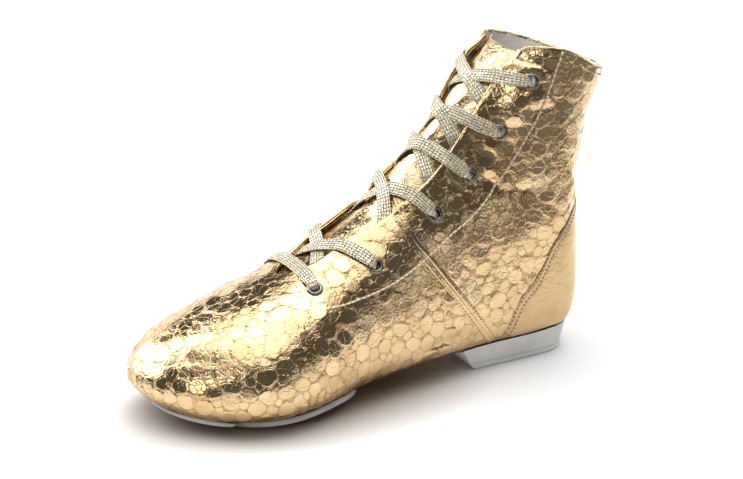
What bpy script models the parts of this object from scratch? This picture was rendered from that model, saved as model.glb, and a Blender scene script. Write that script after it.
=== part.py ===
"""Split-sole dance boot, left foot: a soft laced ankle boot with a suede forefoot patch and a low heel.

Sizes are in millimetres and become metres when a mesh is made. X runs from the back of the heel
to the toe, Y to the outer side, Z up from the floor.
"""
import functools
import math

import bmesh
import bpy
import numpy as np

MM = 0.001
GAP = 0.3
SOFT_GAP = 0.6

# Driving sizes of the last
LENGTH = 238.0
BALL_WIDTH = 90.0
INSTEP_HEIGHT = 92.0
COLLAR_HEIGHT = 162.5
HEEL_HEIGHT = 9.6
SOLE_THICKNESS = 2.4
SOLE_TOP = 2.3
WALL = 1.6

# Sections of the last, from the toe's tip to the collar. Each lies in a plane through its ridge (top or
# front) and its keel (bottom or back). x is in per cent of LENGTH, across in per cent of BALL_WIDTH, heights
# in mm. waist is the widest place as a part of the way from keel to ridge, crown and sole are the powers of
# the superellipse above and below it, throat is half of the gap that the laces close.
COLUMNS = ("ridge_x", "ridge_z", "keel_x", "keel_z", "middle", "outer", "inner",
           "waist", "crown", "sole", "throat")
SECTIONS = {
    "toe_tip": (100.0, 20.0, 100.0, 20.0, -10.0, 0.0, 0.0, 0.50, 2.0, 2.0, 6.0),
    "toe_nose": (98.9, 26.8, 98.9, 14.5, -8.1, 18.9, 13.6, 0.42, 2.0, 2.2, 6.0),
    "toe_front": (95.8, 35.0, 95.8, 8.8, -6.8, 31.1, 26.9, 0.40, 2.0, 2.5, 6.0),
    "toe_root": (90.3, 43.6, 90.3, 4.1, -3.3, 41.8, 38.0, 0.38, 2.1, 2.9, 6.0),
    "tread": (82.8, 52.2, 82.8, 2.6, 0.2, 50.7, 44.0, 0.36, 2.1, 3.2, 7.0),
    "ball": (73.9, 59.6, 73.9, SOLE_TOP, 1.8, 53.8, 46.2, 0.35, 2.1, 3.3, 8.5),
    "joint": (64.3, 67.8, 64.3, 2.9, 1.0, 48.9, 43.6, 0.34, 2.1, 3.3, 10.5),
    "waist": (54.6, 79.8, 54.6, 5.2, 0.2, 43.3, 38.0, 0.32, 2.1, 3.3, 13.0),
    "instep": (46.2, INSTEP_HEIGHT, 46.2, 6.6, 0.0, 40.7, 35.6, 0.28, 2.1, 3.3, 16.8),
    "arch": (41.4, 103.5, 35.3, 7.9, 0.0, 38.2, 35.3, 0.24, 2.1, 3.4, 19.2),
    "breast": (37.6, 112.2, 23.5, 9.2, 0.0, 35.8, 35.8, 0.21, 2.1, 3.6, 20.2),
    "seat": (34.4, 120.8, 10.1, HEEL_HEIGHT, 0.0, 35.1, 35.8, 0.20, 2.1, 3.8, 20.0),
    "heel_turn": (31.8, 128.2, 1.9, 14.9, 0.0, 34.4, 35.3, 0.22, 2.1, 3.0, 19.4),
    "heel_back": (29.0, 135.3, -0.3, 40.0, 0.0, 34.4, 35.3, 0.30, 2.1, 2.5, 18.6),
    "ankle": (25.8, 143.2, -0.8, 73.0, 0.0, 34.7, 35.2, 0.42, 2.1, 2.2, 17.8),
    "shaft": (21.4, 152.6, -2.3, 106.5, 0.0, 35.1, 35.3, 0.48, 2.1, 2.0, 16.8),
    "collar": (16.4, COLLAR_HEIGHT, -7.7, 142.0, 0.0, 35.6, 36.1, 0.50, 2.1, 1.8, 15.5),
}
UNITS = {"ridge_x": LENGTH / 100, "keel_x": LENGTH / 100,
         "middle": BALL_WIDTH / 100, "outer": BALL_WIDTH / 100, "inner": BALL_WIDTH / 100}
CLOSING_COLUMNS = ("ridge_z", "keel_z", "outer", "inner")
TOP = len(SECTIONS) - 1

# Mesh of the upper: rows of points along it, strips of faces round it
THROAT_START = 5.5
THROAT_ROUND = 1.0
NOSE_ROW = 0.12
VAMP_ROWS = 15
ROUND_ROWS = 4
QUARTER_ROWS = 23
STRIPS = 30
RING_SAMPLES = 181
SHARP_EDGE_DEG = 35.0

# Search for the skin over a place in plan: its stations, its turns to each side, and the length of a step
UNDERSIDE = (0.3, 13.0)
UNDERSIDE_SAMPLES = 61
UNDERSIDE_TURN = 0.5
NEWTON_STEPS = 14
NEWTON_REACH = (0.6, 0.1)

# Tongue and insole
TONGUE_FROM = 5.2
TONGUE_TO = 15.7
TONGUE_THICKNESS = 2.0
TONGUE_DROP = 3.2
TONGUE_ROOT_DROP = 2.0
TONGUE_UNDER = 12.0
TONGUE_ROOT_UNDER = 6.0
TONGUE_ROOT_ROWS = 3
TONGUE_ROWS = 20
TONGUE_POINTS = 7
INSOLE_FROM = 0.9
INSOLE_TO = 11.65
INSOLE_THICKNESS = 2.0
INSOLE_SHARE = 0.76
INSOLE_ROWS = 21
INSOLE_END_SWING = 0.19
INSOLE_END_POWER = 5

# Forefoot patch: an egg round its centre, with its reach to each side
PATCH_CENTRE = (170.0, 1.5)
PATCH_FRONT = 38.0
PATCH_REAR = 43.0
PATCH_OUTER = 41.0
PATCH_INNER = 37.0
PATCH_POWER = 2.15
PATCH_SPOKES = 34
PATCH_SHARES = (0.0, 0.5, 0.75, 0.9, 1.0)

# Toe patch: a crescent in front of the forefoot patch
CRESCENT_GAP = 4.0
CRESCENT_HALF_ANGLE = 47.0
CRESCENT_TURN = -4.0
CRESCENT_WIDTH = 17.0
CRESCENT_END_WIDTH = 4.0
CRESCENT_THICKNESS = 1.5
CRESCENT_STEPS = 16
CRESCENT_ROWS = 3

# Heel: a U in plan, with a slanted breast
HEEL_CENTRE_X = 34.0
HEEL_BACK_X = 3.6
HEEL_HALF_WIDTH = 27.8
HEEL_ROUND_FROM_X = 31.0
HEEL_POWER = 3.0
BREAST_TOP_X = 73.0
BREAST_FOOT_X = 65.0
HEEL_TAPER = 2.0
LIFT_THICKNESS = 2.5
HEEL_SIDE_STEPS = 5
HEEL_BACK_STEPS = 14
HEEL_FRONT_STEPS = 8
HEEL_SHARES = (0.0, 0.5, 0.74, 0.88, 0.95, 1.0)

# Counter: its upper edge from the back of the boot to the heel's side, as station and turn, and its foot,
# which runs round the heel just above the block
COUNTER_EDGE = ((14.15, 0.0), (13.85, 0.235), (12.58, 0.385), (11.06, 0.335), (10.26, 0.226))
COUNTER_FRONT_X = 46.0
COUNTER_CLEAR = 0.9
COUNTER_THICKNESS = 0.8
COUNTER_STEPS = 26
COUNTER_SHARES = (0.0, 0.1, 0.22, 0.38, 0.58, 0.78, 1.0)

# Raised side seam between vamp and quarter: its line as station and turn, and its cross-section
SEAM_LINE = ((8.30, 0.84), (8.55, 0.72), (9.00, 0.60), (9.57, 0.42), (10.00, 0.232))
SEAM_PROFILE = ((-3.0, 0.20), (-1.5, 0.55), (0.0, 0.35), (1.5, 0.55), (3.0, 0.20))
SEAM_STEPS = 12

# Eyelets: station, and distance from the throat's edge
EYELETS = ((5.92, 15.5), (7.30, 18.5), (9.58, 14.5), (11.42, 15.0), (13.56, 16.0), (15.28, 15.0))
EYELET_HOLE = 2.3
EYELET_BARREL = 2.65
EYELET_RADIUS = 4.0
EYELET_RISE = 1.2
EYELET_LIFT = 0.4
EYELET_SIDES = 10
EYELET_BEVEL = 0.7
PUNCH_PAST = 2.0

# Lace: a flat braid, and the side whose strip lies over at each crossing
LACE_WIDTH = 7.0
LACE_THICKNESS = 1.2
LACE_ON_LEATHER = EYELET_RISE + SOFT_GAP + LACE_THICKNESS / 2
LACE_OVER = -0.5
LACE_UNDER = -1.4
LACE_END = -1.7
LACE_END_MARGIN = 5.0
LACE_END_SHIFT = 0.35
LACE_STEPS = 10
LACE_OVER_SIDES = (1, -1, 1, -1, -1)

MATERIALS = {
    "foil_leather": ((0.72, 0.52, 0.25), 0.30, 0.90),
    "suede": ((0.40, 0.41, 0.42), 0.95, 0.0),
    "heel_rubber": ((0.36, 0.37, 0.38), 0.80, 0.0),
    "lining": ((0.62, 0.58, 0.52), 0.90, 0.0),
    "nickel": ((0.50, 0.48, 0.45), 0.28, 1.0),
    "lurex_braid": ((0.42, 0.34, 0.20), 0.50, 0.60),
}


def spline(values, closing):
    """Natural cubic spline through one column. Rows mirrored past the toe's tip round the nose off."""
    values = np.asarray(values, float)
    mirrored = values[2:0:-1]
    if closing:
        mirrored = 2 * values[0] - mirrored
    knots = np.concatenate((mirrored, values))
    count = len(knots)
    matrix = np.eye(count)
    bend = np.zeros(count)
    for i in range(1, count - 1):
        matrix[i, i - 1:i + 2] = (1, 4, 1)
        bend[i] = 6 * (knots[i - 1] - 2 * knots[i] + knots[i + 1])
    bend = np.linalg.solve(matrix, bend)

    def at(t):
        place = min(max(t + len(mirrored), 0.0), count - 1 - 1e-9)
        i = int(place)
        f = place - i
        g = 1 - f
        return g * knots[i] + f * knots[i + 1] + ((g ** 3 - g) * bend[i] + (f ** 3 - f) * bend[i + 1]) / 6

    return at


TABLE = np.array(list(SECTIONS.values()))
CURVES = {name: spline(TABLE[:, i] * UNITS.get(name, 1.0), name in CLOSING_COLUMNS)
          for i, name in enumerate(COLUMNS)}
ANGLES = np.linspace(0, math.pi, RING_SAMPLES)


@functools.lru_cache(maxsize=None)
def half_ring(t, side):
    """Points from the ridge down one side to the keel at station t, and their distances from the ridge."""
    s = {name: curve(t) for name, curve in CURVES.items()}
    above = np.cos(ANGLES) > 0
    power = 2 / np.where(above, s["crown"], s["sole"])
    rise = np.abs(np.cos(ANGLES)) ** power
    along = np.where(above, s["waist"] + (1 - s["waist"]) * rise, s["waist"] * (1 - rise))
    width = s["outer"] if side > 0 else s["inner"]
    points = np.column_stack((
        s["keel_x"] + along * (s["ridge_x"] - s["keel_x"]),
        s["middle"] + side * width * np.abs(np.sin(ANGLES)) ** power,
        s["keel_z"] + along * (s["ridge_z"] - s["keel_z"])))
    steps = np.linalg.norm(np.diff(points, axis=0), axis=1)
    return points, np.concatenate(([0.0], np.cumsum(steps)))


def side_length(t, side):
    return half_ring(round(t, 6), side)[1][-1]


def on_skin(t, turns):
    """Points of the outer skin. A turn is 0 at the keel, 1 at the ridge going by the outer side, else -1."""
    turns = (np.atleast_1d(np.asarray(turns, float)) + 1) % 2 - 1
    result = np.empty((len(turns), 3))
    for side in (1, -1):
        mask = (turns >= 0) if side > 0 else (turns < 0)
        points, run = half_ring(round(t, 6), side)
        wanted = (1 - np.abs(turns[mask])) * run[-1]
        for axis in range(3):
            result[mask, axis] = np.interp(wanted, run, points[:, axis])
    return result


def slopes(t, turns, step=0.02):
    """Change of the skin point with station and with turn."""
    low = max(t - step, 0.01)
    high = min(t + step, TOP)
    turns = np.atleast_1d(np.asarray(turns, float))
    by_station = (on_skin(high, turns) - on_skin(low, turns)) / (high - low)
    by_turn = (on_skin(t, turns + step) - on_skin(t, turns - step)) / (2 * step)
    return by_station, by_turn


def normals(t, turns):
    by_station, by_turn = slopes(t, turns)
    across = np.cross(by_station, by_turn)
    return across / np.linalg.norm(across, axis=1, keepdims=True)


def skin(t, turns, out=0.0):
    """Skin points moved out along the normal."""
    out = np.broadcast_to(np.asarray(out, float), np.atleast_1d(turns).shape)
    return on_skin(t, turns) + normals(t, turns) * out[:, None]


def ridge_turn(t, distance):
    """Turn of the point this far from the ridge, positive on the outer side."""
    side = 1 if distance >= 0 else -1
    return side * (1 - abs(distance) / side_length(t, side))


def half_gap(t):
    """Half of the throat's opening, measured along the skin from the ridge."""
    part = min(max((t - THROAT_START) / THROAT_ROUND, 0.0), 1.0)
    return CURVES["throat"](t) * math.sqrt(1 - (1 - part) ** 2)


def through(points, steps):
    """Places along a smooth curve through points that are about evenly spaced."""
    points = np.asarray(points, float)
    slope = np.gradient(points, axis=0)
    result = []
    for place in np.linspace(0, len(points) - 1, steps + 1):
        i = min(int(place), len(points) - 2)
        f = place - i
        result.append((2 * f ** 3 - 3 * f ** 2 + 1) * points[i] + (f ** 3 - 2 * f ** 2 + f) * slope[i]
                      + (3 * f ** 2 - 2 * f ** 3) * points[i + 1] + (f ** 3 - f ** 2) * slope[i + 1])
    return np.array(result)


def under(x, y):
    """Station and turn of the skin's underside at a place in plan, by Newton's steps from the keel."""
    stations = np.linspace(*UNDERSIDE, UNDERSIDE_SAMPLES)
    keel = np.array([CURVES["keel_x"](t) for t in stations])
    place = np.array((np.interp(-x, -keel, stations), 0.0))
    for _ in range(NEWTON_STEPS):
        here = on_skin(*place)[0]
        by_station, by_turn = slopes(*place)
        matrix = np.column_stack((by_station[0, :2], by_turn[0, :2]))
        change = np.linalg.solve(matrix, (x - here[0], y - here[1]))
        place += np.clip(change, -np.array(NEWTON_REACH), NEWTON_REACH)
        place = np.clip(place, (UNDERSIDE[0], -UNDERSIDE_TURN), (UNDERSIDE[1], UNDERSIDE_TURN))
    return place


def below_skin(x, y, out):
    return skin(*under(x, y), out)[0]


def make_material(name):
    colour, roughness, metallic = MATERIALS[name]
    material = bpy.data.materials.new(name)
    material.use_nodes = True
    shader = material.node_tree.nodes["Principled BSDF"]
    shader.inputs["Base Color"].default_value = (*colour, 1.0)
    shader.inputs["Roughness"].default_value = roughness
    shader.inputs["Metallic"].default_value = metallic
    return material


def make_object(name, points, faces, material):
    """One closed solid from points in mm and faces of point numbers."""
    mesh = bpy.data.meshes.new(name)
    mesh.from_pydata([tuple(float(v) * MM for v in p) for p in points], [], faces)
    work = bmesh.new()
    work.from_mesh(mesh)
    bmesh.ops.recalc_face_normals(work, faces=work.faces)
    work.to_mesh(mesh)
    work.free()
    mesh.shade_smooth()
    mesh.set_sharp_from_angle(angle=math.radians(SHARP_EDGE_DEG))
    mesh.materials.append(bpy.data.materials.get(material) or make_material(material))
    item = bpy.data.objects.new(name, mesh)
    bpy.context.collection.objects.link(item)
    return item


def make_plate(name, top, bottom, material):
    """Solid between two grids of points, each rows x columns x 3."""
    rows, columns = top.shape[:2]
    points = np.concatenate((top.reshape(-1, 3), bottom.reshape(-1, 3)))
    shift = rows * columns
    faces = []
    for i in range(rows - 1):
        for j in range(columns - 1):
            a = i * columns + j
            quad = (a, a + 1, a + columns + 1, a + columns)
            faces.append(quad)
            faces.append(tuple(shift + p for p in reversed(quad)))
    edge = list(range(columns))
    edge += [i * columns + columns - 1 for i in range(1, rows)]
    edge += [(rows - 1) * columns + j for j in range(columns - 2, -1, -1)]
    edge += [i * columns for i in range(rows - 2, 0, -1)]
    for a, b in zip(edge, edge[1:] + edge[:1]):
        faces.append((b, a, shift + a, shift + b))
    return make_object(name, points, faces, material)


def make_disc(name, top, bottom, material):
    """Solid between two fans of rings, each rings x spokes x 3 with ring 0 at the centre."""
    points, faces, rims = [], [], []
    for grid in (top, bottom):
        rings, spokes = grid.shape[:2]
        start = len(points)
        points.append(grid[0, 0])
        points.extend(grid[1:].reshape(-1, 3))
        rows = [[start + 1 + ring * spokes + spoke for spoke in range(spokes)] for ring in range(rings - 1)]
        for spoke in range(spokes):
            follow = (spoke + 1) % spokes
            faces.append((start, rows[0][spoke], rows[0][follow]))
            for near, far in zip(rows, rows[1:]):
                faces.append((near[spoke], far[spoke], far[follow], near[follow]))
        rims.append(rows[-1])
    for spoke in range(len(rims[0])):
        follow = (spoke + 1) % len(rims[0])
        faces.append((rims[0][spoke], rims[1][spoke], rims[1][follow], rims[0][follow]))
    return make_object(name, points, faces, material)


def upper_rows():
    vamp = list(np.linspace(NOSE_ROW, THROAT_START, VAMP_ROWS))
    turn_in = [THROAT_START + THROAT_ROUND * (1 - math.cos(math.pi / 2 * k / ROUND_ROWS))
               for k in range(1, ROUND_ROWS + 1)]
    quarter = list(np.linspace(THROAT_START + THROAT_ROUND, TOP, QUARTER_ROWS))[1:]
    return vamp + turn_in + quarter


def make_upper():
    """Hollow shell: an outer and an inner skin, joined along the throat and round the collar."""
    rows = upper_rows()
    points = []
    numbers = {}
    tip = np.array((LENGTH, CURVES["middle"](0), CURVES["ridge_z"](0)))
    for layer, depth in enumerate((0.0, -WALL)):
        numbers[layer, -1] = [len(points)] * (STRIPS + 1)
        points.append(tip + (depth, 0, 0))
        for i, t in enumerate(rows):
            gap = half_gap(t)
            turns = np.linspace(ridge_turn(t, -gap - 1e-9), ridge_turn(t, gap), STRIPS + 1)
            ring = skin(t, turns, depth)
            closed = t <= THROAT_START
            start = len(points)
            points.extend(ring[:-1] if closed else ring)
            numbers[layer, i] = [start + j for j in range(STRIPS)] + [start if closed else start + STRIPS]
    faces = []
    for layer in (0, 1):
        for i in range(-1, len(rows) - 1):
            here, beyond = numbers[layer, i], numbers[layer, i + 1]
            for j in range(STRIPS):
                corners = (here[j], here[j + 1], beyond[j + 1], beyond[j])
                faces.append(tuple(dict.fromkeys(corners)))
    last = len(rows) - 1
    for j in range(STRIPS):
        outer_rim, inner_rim = numbers[0, last], numbers[1, last]
        faces.append((outer_rim[j], outer_rim[j + 1], inner_rim[j + 1], inner_rim[j]))
    for i in range(VAMP_ROWS - 1, last):
        for j in (0, STRIPS):
            faces.append((numbers[0, i][j], numbers[0, i + 1][j], numbers[1, i + 1][j], numbers[1, i][j]))
    return make_object("upper", points, faces, "foil_leather")


def make_tongue():
    """Flap under the throat. Its root lies close under the vamp, where it is sewn in."""
    top, bottom = [], []
    for k, t in enumerate(np.linspace(TONGUE_FROM, TONGUE_TO, TONGUE_ROWS)):
        share = min(k / TONGUE_ROOT_ROWS, 1.0)
        drop = TONGUE_ROOT_DROP + (TONGUE_DROP - TONGUE_ROOT_DROP) * share
        under_edge = TONGUE_ROOT_UNDER + (TONGUE_UNDER - TONGUE_ROOT_UNDER) * share
        reach = CURVES["throat"](t) + under_edge
        turns = [ridge_turn(t, d) for d in np.linspace(-reach, reach, TONGUE_POINTS)]
        top.append(skin(t, turns, -drop))
        bottom.append(skin(t, turns, -drop - TONGUE_THICKNESS))
    make_plate("tongue", np.array(top), np.array(bottom), "foil_leather")


def make_insole():
    """Sock on the upper's floor, rounded at both ends."""
    top, bottom = [], []
    for swing in np.linspace(INSOLE_END_SWING, math.pi - INSOLE_END_SWING, INSOLE_ROWS):
        t = INSOLE_FROM + (INSOLE_TO - INSOLE_FROM) * (1 - math.cos(swing)) / 2
        share = INSOLE_SHARE * math.sqrt(1 - abs(math.cos(swing)) ** INSOLE_END_POWER)
        inner = -share * CURVES["inner"](t) / side_length(t, -1)
        outer = share * CURVES["outer"](t) / side_length(t, 1)
        turns = (inner, inner / 2, 0.0, outer / 2, outer)
        top.append(skin(t, turns, -WALL - SOFT_GAP - INSOLE_THICKNESS))
        bottom.append(skin(t, turns, -WALL - SOFT_GAP))
    make_plate("insole", np.array(top), np.array(bottom), "lining")


def patch_reach(angle):
    """Distance from the forefoot patch's centre to its edge. Angle 0 points to the toe."""
    c, s = math.cos(angle), math.sin(angle)
    length = PATCH_FRONT if c > 0 else PATCH_REAR
    width = PATCH_OUTER if s > 0 else PATCH_INNER
    return (abs(c / length) ** PATCH_POWER + abs(s / width) ** PATCH_POWER) ** (-1 / PATCH_POWER)


def make_forefoot_sole():
    """Suede patch that follows the upper above and is ground flat on the floor below."""
    top, bottom = [], []
    for share in PATCH_SHARES:
        for spoke in range(PATCH_SPOKES):
            angle = 2 * math.pi * spoke / PATCH_SPOKES
            reach = patch_reach(angle) * share
            place = (PATCH_CENTRE[0] + reach * math.cos(angle), PATCH_CENTRE[1] + reach * math.sin(angle))
            top.append(below_skin(*place, SOFT_GAP))
            low = below_skin(*place, SOFT_GAP + SOLE_THICKNESS)
            bottom.append((low[0], low[1], max(low[2], 0.0)))
    shape = (len(PATCH_SHARES), PATCH_SPOKES, 3)
    make_disc("forefoot_sole", np.reshape(top, shape), np.reshape(bottom, shape), "suede")


def make_toe_patch():
    top, bottom = [], []
    for step in range(CRESCENT_STEPS + 1):
        share = 2 * step / CRESCENT_STEPS - 1
        angle = math.radians(CRESCENT_TURN + CRESCENT_HALF_ANGLE * share)
        width = CRESCENT_END_WIDTH + (CRESCENT_WIDTH - CRESCENT_END_WIDTH) * (1 - share ** 2)
        near = patch_reach(angle) + CRESCENT_GAP
        row_top, row_bottom = [], []
        for k in range(CRESCENT_ROWS + 1):
            reach = near + width * k / CRESCENT_ROWS
            place = (PATCH_CENTRE[0] + reach * math.cos(angle), PATCH_CENTRE[1] + reach * math.sin(angle))
            row_top.append(below_skin(*place, SOFT_GAP))
            row_bottom.append(below_skin(*place, SOFT_GAP + CRESCENT_THICKNESS))
        top.append(row_top)
        bottom.append(row_bottom)
    make_plate("toe_patch", np.array(top), np.array(bottom), "suede")


def heel_sides(front_x, inset):
    """The heel's U in plan, from its inner front corner round the back to the outer one."""
    half = HEEL_HALF_WIDTH - inset
    back = HEEL_BACK_X + inset
    side_x = np.linspace(front_x, HEEL_ROUND_FROM_X, HEEL_SIDE_STEPS + 1)[:-1]
    sides = [(x, -half) for x in side_x]
    for k in range(HEEL_BACK_STEPS + 1):
        swing = math.pi * k / HEEL_BACK_STEPS
        c, s = math.cos(swing), math.sin(swing)
        across = -math.copysign(abs(c) ** (2 / HEEL_POWER), c) * half
        sides.append((HEEL_ROUND_FROM_X - (HEEL_ROUND_FROM_X - back) * s ** (2 / HEEL_POWER), across))
    return np.array(sides + [(x, half) for x in side_x[::-1]])


def heel_rings(breast_x, inset, shares, place):
    """Rings from the heel's centre out to its outline. place gives a point for x and y in plan."""
    sides = heel_sides(breast_x, inset)
    front = [(breast_x, y) for y in np.linspace(sides[-1, 1], sides[0, 1], HEEL_FRONT_STEPS + 1)[1:-1]]
    outline = np.concatenate((sides, front))
    reach = outline - (HEEL_CENTRE_X, 0.0)
    return np.array([[place(HEEL_CENTRE_X + x * share, y * share) for x, y in reach] for share in shares])


def make_heel():
    """Wedge with a hollow top that follows the upper, on a flat top lift."""
    slant = (BREAST_TOP_X - BREAST_FOOT_X) / HEEL_HEIGHT

    def level(z):
        return heel_rings(BREAST_FOOT_X + slant * z, HEEL_TAPER, (0.0, 1.0), lambda x, y: (x, y, z))

    seat = heel_rings(BREAST_TOP_X, 0.0, HEEL_SHARES, lambda x, y: below_skin(x, y, SOFT_GAP))
    make_disc("heel_block", seat, level(LIFT_THICKNESS + GAP), "heel_rubber")
    make_disc("heel_top_lift", level(LIFT_THICKNESS), level(0.0), "heel_rubber")


def evenly(points, count):
    """Places at even distances along a line of points."""
    steps = np.linalg.norm(np.diff(points, axis=0), axis=1)
    run = np.concatenate(([0.0], np.cumsum(steps)))
    wanted = np.linspace(0, run[-1], count)
    return np.column_stack([np.interp(wanted, run, points[:, axis]) for axis in range(points.shape[1])])


def make_counter():
    """Overlay round the back of the heel, between its foot and its upper edge, alike on both sides."""
    outer = np.array(COUNTER_EDGE)
    edge = through(np.concatenate((outer[:0:-1] * (1, -1), outer)), COUNTER_STEPS)
    foot = [under(x, y) for x, y in evenly(heel_sides(COUNTER_FRONT_X, -COUNTER_CLEAR), len(edge))]
    top, bottom = [], []
    for share in COUNTER_SHARES:
        places = foot + (edge - foot) * share
        top.append([skin(t, turn, SOFT_GAP + COUNTER_THICKNESS)[0] for t, turn in places])
        bottom.append([skin(t, turn, SOFT_GAP)[0] for t, turn in places])
    make_plate("heel_counter", np.array(top), np.array(bottom), "foil_leather")


def make_side_seam(name, side):
    """Raised seam: two low ridges with a groove between them, along the line where vamp and quarter meet."""
    line = through(SEAM_LINE, SEAM_STEPS) * (1, side)
    ways = np.gradient(line, axis=0)
    top, bottom = [], []
    for (t, turn), way in zip(line, ways):
        by_station, by_turn = slopes(t, turn)
        along = way[0] * by_station[0] + way[1] * by_turn[0]
        across = np.cross(normals(t, turn)[0], along / np.linalg.norm(along))
        step = np.linalg.lstsq(np.column_stack((by_station[0], by_turn[0])), across, rcond=None)[0]
        row_top, row_bottom = [], []
        for offset, rise in SEAM_PROFILE:
            place = (t + step[0] * offset, turn + step[1] * offset)
            row_top.append(skin(*place, SOFT_GAP + rise)[0])
            row_bottom.append(skin(*place, SOFT_GAP)[0])
        top.append(row_top)
        bottom.append(row_bottom)
    make_plate(name, np.array(top), np.array(bottom), "foil_leather")


def eyelet_place(number, side):
    """Station and signed distance from the ridge of an eyelet, counted from the toe."""
    t, inset = EYELETS[number]
    return t, side * (half_gap(t) + inset)


def turned(profile, sides, centre, axis):
    """Closed ring of a profile of radius and height, turned round an axis. Gives points and faces."""
    axis = axis / np.linalg.norm(axis)
    first = np.cross(axis, (1.0, 0.0, 0.0))
    first /= np.linalg.norm(first)
    second = np.cross(axis, first)
    points, faces = [], []
    count = len(profile)
    for k in range(sides):
        swing = 2 * math.pi * k / sides
        outward = first * math.cos(swing) + second * math.sin(swing)
        points.extend(centre + outward * radius + axis * height for radius, height in profile)
        follow = (k + 1) % sides
        for j in range(count):
            n = (j + 1) % count
            faces.append((k * count + j, k * count + n, follow * count + n, follow * count + j))
    return points, faces


def make_eyelets(upper):
    """Twelve turned eyelets with a barrel through the wall, and the punched holes that they sit in."""
    below = -WALL - GAP
    profile = ((EYELET_HOLE, below), (EYELET_HOLE, EYELET_RISE), (EYELET_RADIUS - EYELET_BEVEL, EYELET_RISE),
               (EYELET_RADIUS, EYELET_LIFT), (EYELET_BARREL, EYELET_LIFT), (EYELET_BARREL, below))
    punch_points, punch_faces = [], []
    for side, word in ((1, "outer"), (-1, "inner")):
        for number in range(len(EYELETS)):
            t, distance = eyelet_place(number, side)
            turn = ridge_turn(t, distance)
            centre, axis = on_skin(t, turn)[0], normals(t, turn)[0]
            points, faces = turned(profile, EYELET_SIDES, centre, axis)
            make_object(f"eyelet_{word}_{number + 1}", points, faces, "nickel")
            radius = EYELET_BARREL + GAP
            wall = ((radius, PUNCH_PAST), (radius, below - PUNCH_PAST))
            points, faces = turned(wall, EYELET_SIDES, centre, axis)
            faces = [face for k, face in enumerate(faces) if k % 2 == 0]
            faces.append(tuple(range(0, 2 * EYELET_SIDES, 2)))
            faces.append(tuple(range(2 * EYELET_SIDES - 1, 0, -2)))
            punch_faces += [tuple(p + len(punch_points) for p in face) for face in faces]
            punch_points += points
    punch = make_object("eyelet_punch", punch_points, punch_faces, "nickel")
    punch.hide_render = True
    punch.display_type = "WIRE"
    cut = upper.modifiers.new("eyelet_holes", "BOOLEAN")
    cut.object = punch
    cut.solver = "EXACT"


def lace_height(t, distance, middle):
    """Height of a lace's middle line over the skin. It starts at positive distances from the ridge."""
    edge = half_gap(t)
    if distance >= edge:
        return LACE_ON_LEATHER
    share = abs(distance) / edge
    ease = share * share * (3 - 2 * share)
    target = LACE_ON_LEATHER if distance > 0 else LACE_END
    return middle + (target - middle) * ease


def lace_strip(start, end, height):
    """Upper and lower face of a flat strip between two places of station and distance from the ridge."""
    centres, ups = [], []
    for t, distance in np.linspace(start, end, LACE_STEPS + 1):
        turn = ridge_turn(t, distance)
        centres.append(skin(t, turn, height(t, distance))[0])
        ups.append(normals(t, turn)[0])
    ways = np.gradient(np.array(centres), axis=0)
    top, bottom = [], []
    for centre, up, way in zip(centres, ups, ways):
        across = np.cross(up, way)
        across *= LACE_WIDTH / 2 / np.linalg.norm(across)
        thick = np.cross(way, across)
        thick *= LACE_THICKNESS / 2 / np.linalg.norm(thick)
        top.append((centre - across + thick, centre + across + thick))
        bottom.append((centre - across - thick, centre + across - thick))
    return np.array(top), np.array(bottom)


def make_lace():
    """A bar at the lowest eyelets, then crossings: a strip starts on an eyelet and dips at the far edge."""
    ends = [eyelet_place(0, side) for side in (1, -1)]
    make_plate("lace_bar", *lace_strip(*ends, lambda t, distance: LACE_ON_LEATHER), "lurex_braid")
    for number, over_side in enumerate(LACE_OVER_SIDES):
        t = EYELETS[number][0] + LACE_END_SHIFT
        strips = []
        for side, middle in ((over_side, LACE_OVER), (-over_side, LACE_UNDER)):
            far = (t, -side * (half_gap(t) - LACE_END_MARGIN))
            strips.append(lace_strip(eyelet_place(number + 1, side), far,
                                     lambda t, distance: lace_height(t, side * distance, middle)))
        name = f"lace_cross_{number + 1}"
        over = make_plate(name, *strips[0], "lurex_braid")
        beneath = make_plate(f"{name}_under", *strips[1], "lurex_braid")
        beneath.hide_render = True
        beneath.display_type = "WIRE"
        join = over.modifiers.new("crossing", "BOOLEAN")
        join.object = beneath
        join.operation = "UNION"
        join.solver = "EXACT"


def stand_on_origin():
    """Parent all pieces to one empty that puts the middle of the boot's footprint at the origin."""
    items = [item for item in bpy.data.objects if not item.hide_render]
    corners = np.concatenate([[v.co for v in item.data.vertices] for item in items])
    middle = (corners.min(axis=0) + corners.max(axis=0)) / 2
    boot = bpy.data.objects.new("boot", None)
    bpy.context.collection.objects.link(boot)
    boot.location = (-middle[0], -middle[1], 0.0)
    for item in list(bpy.data.objects):
        if item is not boot:
            item.parent = boot


for old in list(bpy.data.objects):
    bpy.data.objects.remove(old)
boot_upper = make_upper()
make_tongue()
make_insole()
make_forefoot_sole()
make_toe_patch()
make_heel()
make_counter()
make_side_seam("side_seam_outer", 1)
make_side_seam("side_seam_inner", -1)
make_eyelets(boot_upper)
make_lace()
stand_on_origin()
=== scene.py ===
"""Looks of the split-sole dance boot: gold foil leather with scale-like plates, a flat metallic braid as
its lace, nickel eyelets, suede soles and a grey heel, on a pale floor in soft studio light.

Shapes are worked out in millimetres on the same last as the solids: X from the back of the heel to the
toe, Y to the outer side, Z up from the floor. place() brings them into the frame in metres.
"""
import math

import bpy
import numpy as np
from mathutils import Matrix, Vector, kdtree, noise


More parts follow.
